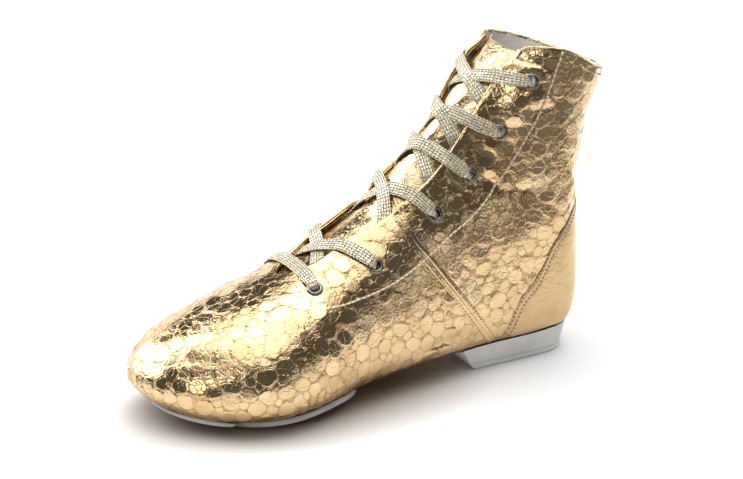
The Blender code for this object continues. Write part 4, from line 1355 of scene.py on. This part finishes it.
def crescent_place(share, part):
    """Place in plan on the toe's crescent: share -1 to 1 along it, part 0 to 1 across it."""
    angle = np.radians(CRESCENT_TURN + CRESCENT_HALF_ANGLE * share)
    width = CRESCENT_END_WIDTH + (CRESCENT_WIDTH - CRESCENT_END_WIDTH) * (1 - share ** 2)
    return round_patch(angle, patch_reach(angle) + CRESCENT_GAP + width * part)


def make_toe_patch(material):
    """Suede crescent under the toe."""
    shares, parts = np.linspace(-1, 1, TOE_STEPS[0]), np.linspace(0, 1, TOE_STEPS[1])
    share, part = np.meshgrid(shares, parts, indexing="ij")
    spots = under(*crescent_place(share, part))
    edge = np.minimum((1 - np.abs(share)) * TOE_SCALE[0], np.minimum(part, 1 - part) * TOE_SCALE[1])
    out = TOE_EDGE + TOE_THICKNESS * rounded(edge + TOE_EDGE_LEAST, TOE_ROUND)
    points, faces = slab(skin(*spots, out), skin(*spots, TOE_TOP))
    make_piece("toe_suede", points, faces, material, "suede", ["toe_patch"])


# Heel: points along its front, gap below the leather, seam between block and lift, soft edges, rings
HEEL_FRONT_STEPS = 36
SEAT_OUT = 0.45
SEAT_SHARES = (0.1, 0.4, 0.65, 0.85)
SEAT_RIM_INSET = 0.5
SEAT_RIM_DROP = 0.25
WALL_RINGS = 9
LIFT_SEAM = 0.12
BLOCK_FOOT = 0.4
BLOCK_FOOT_INSET = 0.35
LIFT_SOFT = 0.35
LIFT_SIDE_INSET = 0.1
LIFT_EDGE_INSET = 0.45
LIFT_RINGS = 4
FLAT_INSETS = (8.0, 20.0)
SHARP_DEG = 40


def heel_outline(breast_x, inset):
    """Closed outline of the heel in plan."""
    sides = heel_sides(breast_x, inset)
    front = np.linspace(sides[-1], sides[0], HEEL_FRONT_STEPS + 1)[1:-1]
    return np.concatenate((sides, front))


def shrunk(outline, amount):
    """Outline drawn in towards the heel's centre by about this many mm."""
    reach = outline - HEEL_CENTRE
    length = np.linalg.norm(reach, axis=1, keepdims=True)
    return HEEL_CENTRE + reach * (1 - amount / length)


def make_heel(material):
    """Wedge whose top follows the leather, on a flat top lift, both with softened edges."""
    slant = (BREAST_TOP_X - BREAST_FOOT_X) / HEEL_HEIGHT
    top_plan = heel_outline(BREAST_TOP_X, 0.0)

    def flat(z, inset):
        plan = shrunk(heel_outline(BREAST_FOOT_X + slant * z, HEEL_TAPER), inset)
        return np.column_stack((plan, np.full(len(plan), z)))

    def seat(amount, share=1.0):
        plan = HEEL_CENTRE + (shrunk(top_plan, amount) - HEEL_CENTRE) * share
        return below_skin(*plan.T, SEAT_OUT)

    floor = LIFT_THICKNESS + LIFT_SEAM
    rim, foot = seat(0.0), flat(floor + BLOCK_FOOT, 0.0)
    block = [seat(0.0, share) for share in SEAT_SHARES] + [seat(SEAT_RIM_INSET)]
    block += [rim + (foot - rim) * share - (0, 0, SEAT_RIM_DROP * (1 - share))
              for share in np.linspace(0, 1, WALL_RINGS)]
    block += [flat(floor, inset) for inset in (BLOCK_FOOT_INSET, *FLAT_INSETS)]
    lift = [flat(LIFT_THICKNESS, inset) for inset in (*FLAT_INSETS[::-1], LIFT_EDGE_INSET)]
    lift += [flat(z, LIFT_SIDE_INSET) for z in np.linspace(LIFT_THICKNESS - LIFT_SOFT, LIFT_SOFT, LIFT_RINGS)]
    lift += [flat(0.0, inset) for inset in (LIFT_EDGE_INSET, *FLAT_INSETS)]
    for name, rings, node in (("heel_wedge", block, "heel_block"), ("heel_lift", lift, "heel_top_lift")):
        piece = make_piece(name, *ring_loft(rings), material, "heel_rubber", [node])
        piece.data.set_sharp_from_angle(angle=math.radians(SHARP_DEG))


# Eyelet in section: distance from its axis and height over the leather
EYELET_PROFILE = ((2.30, -1.95), (2.30, 0.20), (2.36, 0.62), (2.55, 0.92), (2.90, 1.05), (3.35, 0.98),
                  (3.75, 0.70), (4.00, 0.25), (3.96, -0.10), (3.60, -0.30), (2.75, -0.30), (2.70, -1.60),
                  (3.10, -1.70), (3.20, -1.92), (2.75, -2.10), (2.45, -2.08))
EYELET_SIDES = 44


def make_eyelets(material):
    """Turned metal eyelets, one piece for each."""
    swing = np.linspace(0, 2 * np.pi, EYELET_SIDES, endpoint=False)
    reach, height = np.array(EYELET_PROFILE).T
    last = (len(EYELET_PROFILE) - 1) * EYELET_SIDES
    for word, number, t, d in EYELET_SPOTS:
        turn = ridge_turn(t, d)
        centre, axis = on_skin(t, turn), normals(t, turn)
        first = unit(np.cross(axis, (0.0, 0.0, 1.0)))
        second = np.cross(axis, first)
        round_axis = np.outer(np.cos(swing), first) + np.outer(np.sin(swing), second)
        rings = centre + axis * height[:, None, None] + round_axis * reach[:, None, None]
        faces = grid_faces(len(rings), EYELET_SIDES, closed=True)
        for j in range(EYELET_SIDES):
            k = (j + 1) % EYELET_SIDES
            faces.append((last + j, last + k, k, j))
        name = f"eyelet_{word}_{number + 1}"
        make_piece(f"{name}_turned", rings.reshape(-1, 3), faces, material, "nickel", [name])


# Way of the lace. One run goes from an eyelet to the next one on the other side: where it is, as distance
# past the near edge of the throat (from) or past the far edge (to), and its height over the skin. Then it
# arches up and dives into the eyelet, narrower. The bar lies across the lowest pair
LACE_OVER_SIDE = (-1, 1, -1, 1, 1)
RUN_FROM = ((7.0, -2.45), (1.0, -2.25), (-3.0, -1.5))
RUN_TO = ((-2.0, 0.55), (2.5, 1.05))
RUN_OVER = -0.35
RUN_UNDER = -1.65
RUN_ROUNDS = 6
ARCH = (6.5, 1.35)
TOP_ARCH = 2.6
DIVE = (2.4, 1.5)
DIVE_WIDTH = 5.6
HOLE_WAY = ((0.1, 0.1), (0.2, -2.0))
LACE_IN_HOLE = 4.1
BAR_MIDDLE = 0.35
BAR_EDGE = ((0.0, 0.75), (4.0, 1.1))
LACE_END = (4.0, -2.5)

# Lace in section: points across it, step along it, how thin its edges are, ribs and picks
LACE_STEP = 0.8
LACE_COLUMNS = 25
LACE_EDGE_THIN = 0.80
LACE_EDGE_POWER = 5
RIB_HEIGHT = 0.11
RIB_DROP = 0.06
PICK_HEIGHT = 0.05
PICK_LENGTH = 1.6
PICK_SLANT = 5
CURVE_STEPS = 24


def lace_run(number, side):
    """Places of one run: station, distance from the ridge, height and width. It goes from one side to the
    other."""
    t_from, d_from = eyelet_place(number, side)
    t_to, d_to = eyelet_place(number + 1, -side)
    over = LACE_OVER_SIDE[number] == side
    top_run = number == len(EYELETS) - 2 and side < 0
    rows = []

    def at(distance_of, height, width=LACE_WIDTH):
        t = (t_from + t_to) / 2
        for _ in range(RUN_ROUNDS):
            d = distance_of(t)
            t = t_from + (t_to - t_from) * (d_from - d) / (d_from - d_to)
        rows.append((t, d, height, width))

    for past, height in RUN_FROM:
        at(lambda t: side * (half_gap(t) + past), height)
    at(lambda t: 0.0, RUN_OVER if over else RUN_UNDER)
    lift = EDGE_LIFT[0 if side > 0 else 1]
    for past, height in RUN_TO:
        at(lambda t: -side * (half_gap(t) + past), height + lift)
    at(lambda t: d_to + side * ARCH[0], TOP_ARCH if top_run else ARCH[1])
    at(lambda t: d_to + side * DIVE[0], DIVE[1], DIVE_WIDTH)
    return rows


def lace_strand(side):
    """Places from the middle of the bar to a hidden end at the top eyelet, with the run each belongs to."""
    t, d = eyelet_place(0, side)
    edge = half_gap(t)
    rows = [(t, 0.0, BAR_MIDDLE, LACE_WIDTH)]
    rows += [(t, side * (edge + past), height, LACE_WIDTH) for past, height in BAR_EDGE]
    rows += [(t, d - side * ARCH[0], ARCH[1], LACE_WIDTH), (t, d - side * DIVE[0], DIVE[1], DIVE_WIDTH)]
    runs = [0] * len(rows)
    for number in range(len(EYELETS)):
        t, d = eyelet_place(number, side)
        rows += [(t, d - side * before, height, LACE_IN_HOLE) for before, height in HOLE_WAY]
        runs += [number, number + 1]
        if number == len(EYELETS) - 1:
            break
        more = lace_run(number, side)
        rows += more
        runs += [number + 1] * len(more)
        side = -side
    rows.append((t, d - side * LACE_END[0], LACE_END[1], DIVE_WIDTH))
    runs.append(len(EYELETS))
    return rows, runs


def strand_frame(side):
    """Points of a strand, the direction across the braid at each, and its width there."""
    rows, runs = lace_strand(side)
    t, d, height, width = np.array(rows, float).T
    turn = ridge_turn(t, d)
    points, outward = skin(t, turn, height), normals(t, turn)
    runs = np.array(runs)
    across = np.zeros(points.shape)
    for run in range(runs.max() + 1):
        mine = np.flatnonzero(runs == run)
        start = mine[0] - 1 if run == runs.max() else mine[0]
        way = points[mine[-1]] - points[start]
        across[mine] = unit(np.cross(outward[mine], way)) * (-1) ** run
    return points, across, width


def curve_through(points, values):
    """Smooth curve at even steps through unevenly spaced points, with the values carried along, and its
    length."""
    both = np.column_stack((points, values))
    gap = np.linalg.norm(np.diff(points, axis=0), axis=1) ** 0.5
    slope = np.diff(both, axis=0) / gap[:, None]
    tangent = np.empty(both.shape)
    tangent[0], tangent[-1] = slope[0], slope[-1]
    before, after = gap[:-1, None], gap[1:, None]
    tangent[1:-1] = (slope[:-1] * after + slope[1:] * before) / (before + after)
    f = np.linspace(0, 1, CURVE_STEPS, endpoint=False)[:, None]
    pieces = [cubic(f, both[i], both[i + 1], length * tangent[i], length * tangent[i + 1])
              for i, length in enumerate(gap)]
    fine = np.concatenate(pieces + [both[-1:]])
    run = run_along(fine[:, :3])
    wanted = np.linspace(0, run[-1], int(run[-1] / LACE_STEP) + 1)
    return columns_at(wanted, run, fine), run[-1]


def make_lace(material):
    """One flat braid: a bar at the lowest eyelets, five crossings, both ends tucked in at the top."""
    outer, inner = strand_frame(1), strand_frame(-1)
    points = np.concatenate((inner[0][:0:-1], outer[0]))
    across = np.concatenate((-inner[1][:0:-1], outer[1]))
    width = np.concatenate((inner[2][:0:-1], outer[2]))
    path, length = curve_through(points, np.column_stack((across, width)))
    centre, across, width = path[:, :3], path[:, 3:6], path[:, 6]
    along = unit(np.gradient(centre, axis=0))
    across = unit(across - along * (across * along).sum(axis=1, keepdims=True))
    outward = np.cross(along, across)
    u = np.linspace(-1, 1, LACE_COLUMNS)
    run = np.arange(len(centre)) * length / (len(centre) - 1)
    half = LACE_THICKNESS / 2 * np.sqrt(1 - LACE_EDGE_THIN * np.abs(u) ** LACE_EDGE_POWER)
    ribs = RIB_HEIGHT * np.abs(np.sin(u * LACE_RIBS * np.pi / 2)) - RIB_DROP
    picks = PICK_HEIGHT * np.sin(run[:, None] * 2 * np.pi / PICK_LENGTH + np.abs(u) * PICK_SLANT)
    body = centre[:, None] + across[:, None] * (width[:, None] / 2 * u)[..., None]
    out = outward[:, None] * (half + ribs + picks)[..., None]
    ring = np.concatenate((body + out, (body - out)[:, ::-1]), axis=1)
    count = ring.shape[1]
    faces = grid_faces(len(ring), count, closed=True)
    end = (len(ring) - 1) * count
    faces += [tuple(range(count)), tuple(end + j for j in reversed(range(count)))]
    faces = [face[::-1] for face in faces]
    replaced = ["lace_bar"] + [f"lace_cross_{k + 1}" for k in range(len(EYELETS) - 1)]
    piece = make_piece("lace_braid", ring.reshape(-1, 3), faces, material, "lurex_braid", replaced)
    side_mm = np.concatenate((u, u[::-1])) * LACE_WIDTH / 2
    braid_map = np.stack(np.broadcast_arrays(side_mm[None, :], run[:, None]), axis=-1)
    add_map(piece, "braid", braid_map.reshape(-1, 2))


# Stitches: place along one stitch, height and radius there, as shares of the thread's radius
STITCH_SHAPE = ((0.0, -0.9, 0.5), (0.16, 0.25, 0.95), (0.5, 0.55, 1.0), (0.84, 0.25, 0.95), (1.0, -0.9, 0.5))
STITCH_SIDES = 6

# Each row: how far out the thread lies, then pitch, radius and, where it isn't usual, the stitch's share
# of the pitch. The heel's row lies on the floor's side of the lift, so it has no distance out
USUAL_SHARE = 0.7
FACING_THREAD = (0.26, 2.8, 0.48, 0.94)
SEAM_THREAD = (0.22, 2.1, 0.25, 0.6)
RIM_THREAD = (0.05, 2.2, 0.24)
COUNTER_THREAD = (0.22, 2.1, 0.24)
FOREFOOT_THREAD = (2.95, 2.6, 0.28)
TOE_THREAD = (2.0, 2.6, 0.26)
HEEL_THREAD = (2.6, 0.26)
ARCH_THREAD = (0.1, 2.4, 0.28)

# Where the rows lie. The facing's line is station and distance from the ridge
FACING_LINE = ((15.97, 39.3), (14.85, 44.7), (13.6, 47.6), (12.3, 48.8), (11.0, 49.2), (9.9, 48.2),
               (8.78, 48.6), (7.6, 46.0), (6.6, 40.8), (5.92, 36.3))
FACING_STEPS = 160
RIM_STATION = TOP - 0.09
RIM_FROM_THROAT = 1.5
RIM_STEPS = 300
FOREFOOT_INSETS = (3.0, 7.0)
FOREFOOT_STEPS = 181
TOE_INSETS = (1.6, 4.2)
TOE_ROW_END = 0.9
TOE_ROW_STEPS = 60
HEEL_ROW_INSET = 4.6
ARCH_OFFSETS = (-2.2, 2.2)
ARCH_ROW_END = 2
ARCH_STEPS = 40
SOLE_STITCH_LOW = 0.45


def stitch_row(line, outward, pitch, radius, share=USUAL_SHARE):
    """Points and faces of small stitches, one after the other along a line on a surface."""
    run = run_along(line)
    count = max(1, int(run[-1] / pitch))
    length = run[-1] / count
    start = (np.arange(count) + (1 - share) / 2) * length
    part, lift, thick = np.array(STITCH_SHAPE).T
    spots = (start[:, None] + part * share * length).ravel()
    centre, up = columns_at(spots, run, line), unit(columns_at(spots, run, outward))
    along = unit(columns_at(spots, run, np.gradient(line, axis=0)))
    side = unit(np.cross(along, up))
    lift, thick = (np.tile(values, count) * radius for values in (lift, thick))
    swing = np.linspace(0, 2 * np.pi, STITCH_SIDES, endpoint=False)
    ring = side[:, None] * np.cos(swing)[:, None] + up[:, None] * np.sin(swing)[:, None]
    points = (centre + up * lift[:, None])[:, None] + ring * thick[:, None, None]
    faces = []
    rings = len(STITCH_SHAPE)
    for k in range(count):
        first = k * rings * STITCH_SIDES
        faces += [face[::-1] for face in grid_faces(rings, STITCH_SIDES, first, closed=True)]
        last = first + (rings - 1) * STITCH_SIDES
        faces.append(tuple(first + j for j in range(STITCH_SIDES)))
        faces.append(tuple(last + j for j in reversed(range(STITCH_SIDES))))
    return points.reshape(-1, 3), faces


def joined(parts):
    """One mesh's points and faces from several."""
    points, faces, start = [], [], 0
    for more, some in parts:
        points.append(more)
        faces += [tuple(start + p for p in face) for face in some]
        start += len(more)
    return np.concatenate(points), faces


def leather_row(t, turn, out, *thread_sizes):
    """Row of stitches on the leather along stations and turns."""
    return stitch_row(*on_leather(t, turn, out), *thread_sizes)


def skin_row(t, turn, out, *thread_sizes):
    """Row of stitches out from the skin along stations and turns."""
    return stitch_row(skin(t, turn, out), normals(t, turn), *thread_sizes)


def under_row(x, y, out, *thread_sizes):
    """Row of stitches under the boot along a line in plan, out from the skin."""
    spots = under(x, y)
    line = skin(*spots, out)
    line[:, 2] = np.maximum(line[:, 2], SOLE_STITCH_LOW)
    return stitch_row(line, normals(*spots), *thread_sizes)


def facing_stitches():
    """Row of stitches along each facing."""
    t, distance = through(FACING_LINE, FACING_STEPS).T
    return joined([leather_row(t, ridge_turn(t, side * distance), *FACING_THREAD) for _, side in SIDES])


def brown_stitches():
    """Rows along the seams, the collar's rim and the counter's upper edge."""
    rows = []
    for _, side in SIDES:
        line, across = seam_frame(side)
        rows += [skin_row(*(line + across * offset).T, *SEAM_THREAD) for offset in SEAM_STITCHES]
    reach = half_gap(RIM_STATION) + RIM_FROM_THROAT
    low, high = ridge_turn(RIM_STATION, -reach), ridge_turn(RIM_STATION, reach)
    rows.append(leather_row(np.full(RIM_STEPS, RIM_STATION), np.linspace(low, high, RIM_STEPS), *RIM_THREAD))
    for inset in COUNTER_STITCHES:
        spots = []
        for column in range(2, COUNTER_COLUMNS - 1):
            row = np.interp(-inset, -FROM_COUNTER_EDGE[:, column], np.arange(COUNTER_ROWS))
            i = min(int(row), COUNTER_ROWS - 2)
            spots.append(COUNTER[i, column] + (COUNTER[i + 1, column] - COUNTER[i, column]) * (row - i))
        rows.append(skin_row(*np.array(spots).T, *COUNTER_THREAD))
    return joined(rows)


def sole_stitches():
    """Rows on the soles, the heel's underside and the arch."""
    angles = np.linspace(0, 2 * np.pi, FOREFOOT_STEPS)
    rows = [under_row(*round_patch(angles, patch_reach(angles) - inset), *FOREFOOT_THREAD)
            for inset in FOREFOOT_INSETS]
    shares = np.linspace(-TOE_ROW_END, TOE_ROW_END, TOE_ROW_STEPS)
    rows += [under_row(*crescent_place(shares, inset / CRESCENT_WIDTH), *TOE_THREAD) for inset in TOE_INSETS]
    outline = shrunk(heel_outline(BREAST_FOOT_X, HEEL_TAPER), HEEL_ROW_INSET)
    line = np.column_stack((outline, np.full(len(outline), SOLE_STITCH_LOW)))
    line = np.concatenate((line, line[:1]))
    rows.append(stitch_row(line, np.tile((0.0, 0.0, -1.0), (len(line), 1)), *HEEL_THREAD))
    arch_x = np.linspace(PATCH_CENTRE[0] - PATCH_REAR - ARCH_ROW_END, BREAST_TOP_X + ARCH_ROW_END, ARCH_STEPS)
    rows += [under_row(arch_x, np.full(ARCH_STEPS, offset), *ARCH_THREAD) for offset in ARCH_OFFSETS]
    return joined(rows)


# The boot
gold = foil_leather("gold_foil", (0.82, 0.61, 0.36), (0.73, 0.54, 0.30), (0.80, 0.74, 0.66),
                    plate_rough=0.07, ground_rough=0.27, wrinkle=0.7)
# painted light: a lighter copy of the gold foil, which brightens the tongue in the shade of the throat
tongue_gold_painted_light = foil_leather("tongue_foil_painted_light", (0.87, 0.67, 0.41), (0.78, 0.58, 0.34), (0.74, 0.68, 0.60),
                           plate_rough=0.08, ground_rough=0.24, wrinkle=0.5)
# painted shade: a darker copy of the gold foil, which darkens the counter
smooth_gold_painted_shade = foil_leather("smooth_foil_painted_shade", (0.65, 0.475, 0.265), (0.60, 0.435, 0.24), (0.74, 0.68, 0.60),
                           plate_rough=0.16, ground_rough=0.24, wrinkle=0.3)
sole_suede = suede("grey_suede", (0.60, 0.61, 0.61), (0.40, 0.405, 0.41))
heel_grey = heel_rubber()
cloth = lining_cloth()
pale_thread = thread("gold_thread", (0.88, 0.78, 0.60), (0.58, 0.46, 0.30))
brown_thread = thread("brown_thread", (0.34, 0.24, 0.15), (0.16, 0.11, 0.07))
dark_thread = thread("dark_thread", (0.16, 0.16, 0.16), (0.06, 0.06, 0.06))

make_leather(gold)
make_lining(cloth)
make_tongue(tongue_gold_painted_light)
make_insole(cloth)
make_counter(smooth_gold_painted_shade)
for word, side in SIDES:
    make_side_seam(word, side, gold)
make_forefoot_sole(sole_suede)
make_toe_patch(sole_suede)
make_heel(heel_grey)
make_eyelets(nickel())
make_lace(braid())
make_piece("stitches_facing", *facing_stitches(), pale_thread, "foil_leather")
make_piece("stitches_brown", *brown_stitches(), brown_thread, "foil_leather")
make_piece("stitches_soles", *sole_stitches(), dark_thread, "suede")

# Camera: the photograph's viewing angle and distance. FRONT and SIDE lie level, towards it and across
VIEW_TURN_DEG = 29.7
VIEW_RISE_DEG = 21.4
VIEW_DISTANCE = 1300.0
VIEW_TARGET = (110.0, 0.0, 70.0)
LENS = 128.0
NEAREST = 0.05
FRONT = (math.sin(math.radians(VIEW_TURN_DEG)), math.cos(math.radians(VIEW_TURN_DEG)))
SIDE = (-FRONT[1], FRONT[0])

# Floor in metres: half its size, its height, its grey where it is lit and its painted shade far off, where
# the painted shade starts to the front, the sides and the front corner, and the painted shadow with a warm
# bounce from the gold under the boot
FLOOR_HALF = 6.0
FLOOR_Z = -0.0002
FLOOR_PALE = 0.68
FLOOR_PAINTED_SHADE = 0.10
FLOOR_FRONT = 0.14
FLOOR_SIDE = 0.28
FLOOR_FADE = 0.14
FLOOR_CORNER = 0.213
FLOOR_CORNER_FADE = 0.06
FLOOR_PAINTED_SHADOW_BOUNCE = (0.50, 0.43, 0.36)
FLOOR_PAINTED_SHADOW_BOUNCE_CENTRE = (0.048, 0.004)
FLOOR_PAINTED_SHADOW_BOUNCE_REACH = (0.115, 0.064)
FLOOR_PAINTED_SHADOW_BOUNCE_CORE = 0.45
FLOOR_ROUGHNESS = 0.9

# Studio: ways are directions from the boot, edges are where a light starts and where it is full
CEILING_EDGE = (0.68, 0.97)
CEILING_TILT = 0.12
CEILING_BEHIND = (-0.35, 0.45)
CEILING_LIGHT = (2.0, 5.0)
BACKDROP_EDGE = (0.34, 0.45)
BACKDROP_BEHIND = (0.15, 0.45)
BACKDROP_LIGHT = 1.5
PANEL_WAY = (0.42, -0.73, 0.54)
PANEL_EDGE = (0.89, 0.965)
PANEL_FROM_X = (0.20, 0.31)
PANEL_LIGHT = 5.0
WALL_LIGHT = 0.10
CARD_WAY = (0.778, 0.449, 0.438)
CARD_EDGE = (0.972, 0.995)
CARD_LIGHT = 3.2
STRIP_WAY = (-0.47, 0.883, 0.0)
STRIP_EDGE = (0.927, 0.985)
STRIP_TOP = (0.09, 0.18)
STRIP_LIGHT = 1.1
KEY_STRENGTH = 2.3
KEY_SPREAD_DEG = 80.0
KEY_LEAN_DEG = 20.0


def make_floor():
    """Wide sheet of paper under the boot, pale where it is lit, with painted shade far off to the front, the
    sides and the front corner, and a painted shadow with a warm bounce from the gold under the boot."""
    mesh = bpy.data.meshes.new("floor")
    corners = [(x * FLOOR_HALF, y * FLOOR_HALF, FLOOR_Z) for x, y in ((-1, -1), (1, -1), (1, 1), (-1, 1))]
    mesh.from_pydata(corners, [], [(0, 1, 2, 3)])
    material, nodes = new_material("floor_paper")
    spot = nodes.spot()
    other_side = (-SIDE[0], -SIDE[1])
    corner = tuple((a + b) / math.sqrt(2) for a, b in zip(FRONT, SIDE))
    far = 0.0
    for way, start, fade in ((FRONT, FLOOR_FRONT, FLOOR_FADE), (SIDE, FLOOR_SIDE, FLOOR_FADE),
                             (other_side, FLOOR_SIDE, FLOOR_FADE), (corner, FLOOR_CORNER, FLOOR_CORNER_FADE)):
        along = nodes.towards(spot, (*way, 0.0))
        far = nodes.math("MAXIMUM", far, nodes.span(along, start, start + fade, soft=True))
    # painted shade: the paper's grey darkens far off to the front, the sides and the front corner
    grey = nodes.tint(far, (0.0, (FLOOR_PALE,) * 3), (1.0, (FLOOR_PAINTED_SHADE,) * 3))
    # painted shadow with a warm bounce from the gold: the paper darkens and warms in a spot under the boot
    painted_shadow_bounce_spot = {"Vector": spot, "Location": (*FLOOR_PAINTED_SHADOW_BOUNCE_CENTRE, 0.0), "Scale": (*FLOOR_PAINTED_SHADOW_BOUNCE_REACH, 1.0)}
    near = nodes.add("Mapping", "Vector", painted_shadow_bounce_spot, vector_type="TEXTURE")
    reach = nodes.add("VectorMath", "Value", {0: near}, operation="LENGTH")
    painted_shadow_bounce = nodes.tint(reach, (FLOOR_PAINTED_SHADOW_BOUNCE_CORE, FLOOR_PAINTED_SHADOW_BOUNCE), (1.0, WHITE))
    nodes.shade({"Base Color": nodes.product(grey, painted_shadow_bounce), "Roughness": FLOOR_ROUGHNESS,
                 "Specular IOR Level": 0.0})
    mesh.materials.append(material)
    floor = bpy.data.objects.new("floor", mesh)
    bpy.context.collection.objects.link(floor)


def make_world():
    """Soft studio with dark walls: a bright ceiling, brightest behind the boot, a pale backdrop there, a
    panel beyond the toe, a small card before it, and a low strip beside the heel."""
    world = bpy.data.worlds.new("studio")
    bpy.context.scene.world = world
    nodes = Nodes(world)
    where = nodes.add("TexCoord", "Generated")
    x, z = (nodes.add("SeparateXYZ", axis, {"Vector": where}) for axis in "XZ")

    def step(source, edge, first=0.0, last=1.0):
        return nodes.span(source, *edge, first, last, soft=True)

    def both(first, second):
        return nodes.math("MULTIPLY", first, second)

    def patch(way, edge, first, last):
        return step(nodes.towards(where, way), edge, first, last)

    behind = nodes.towards(where, (-FRONT[0], -FRONT[1], 0.0))
    tilted = nodes.math("MULTIPLY_ADD", behind, -CEILING_TILT, z)
    ceiling = both(step(tilted, CEILING_EDGE), step(behind, CEILING_BEHIND, *CEILING_LIGHT))
    backdrop = both(step(z, BACKDROP_EDGE, BACKDROP_LIGHT, 0.0), step(behind, BACKDROP_BEHIND))
    panel = both(patch(PANEL_WAY, PANEL_EDGE, 0.0, PANEL_LIGHT), step(x, PANEL_FROM_X))
    card = patch(CARD_WAY, CARD_EDGE, WALL_LIGHT, CARD_LIGHT)
    strip = both(patch(STRIP_WAY, STRIP_EDGE, 0.0, STRIP_LIGHT), step(z, STRIP_TOP, 1.0, 0.0))
    light = ceiling
    for more in (panel, card, strip):
        light = nodes.math("MAXIMUM", light, more)
    background = nodes.tree.nodes["Background"]
    nodes.feed(background, {"Strength": nodes.math("ADD", light, backdrop), "Color": (*WHITE, 1.0)})


def make_key():
    """Wide soft light from above and behind, which the foil doesn't mirror."""
    lean = math.radians(KEY_LEAN_DEG)
    data = bpy.data.lights.new("key", "SUN")
    data.energy = KEY_STRENGTH
    data.angle = math.radians(KEY_SPREAD_DEG)
    key = bpy.data.objects.new("key", data)
    way = Vector((-FRONT[0] * math.sin(lean), -FRONT[1] * math.sin(lean), math.cos(lean)))
    key.rotation_euler = way.to_track_quat("Z", "Y").to_euler()
    key.visible_glossy = False
    bpy.context.collection.objects.link(key)


def make_camera():
    """The photograph's view."""
    rise = math.radians(VIEW_RISE_DEG)
    way = np.array((FRONT[0] * math.cos(rise), FRONT[1] * math.cos(rise), math.sin(rise)))
    data = bpy.data.cameras.new("camera")
    data.lens = LENS
    data.clip_start = NEAREST
    camera = bpy.data.objects.new("camera", data)
    camera.location = place(np.array(VIEW_TARGET) + VIEW_DISTANCE * way)
    camera.rotation_euler = Vector(way).to_track_quat("Z", "Y").to_euler()
    bpy.context.collection.objects.link(camera)
    bpy.context.scene.camera = camera


make_floor()
make_world()
make_key()
make_camera()
bpy.context.scene.view_settings.view_transform = "Standard"
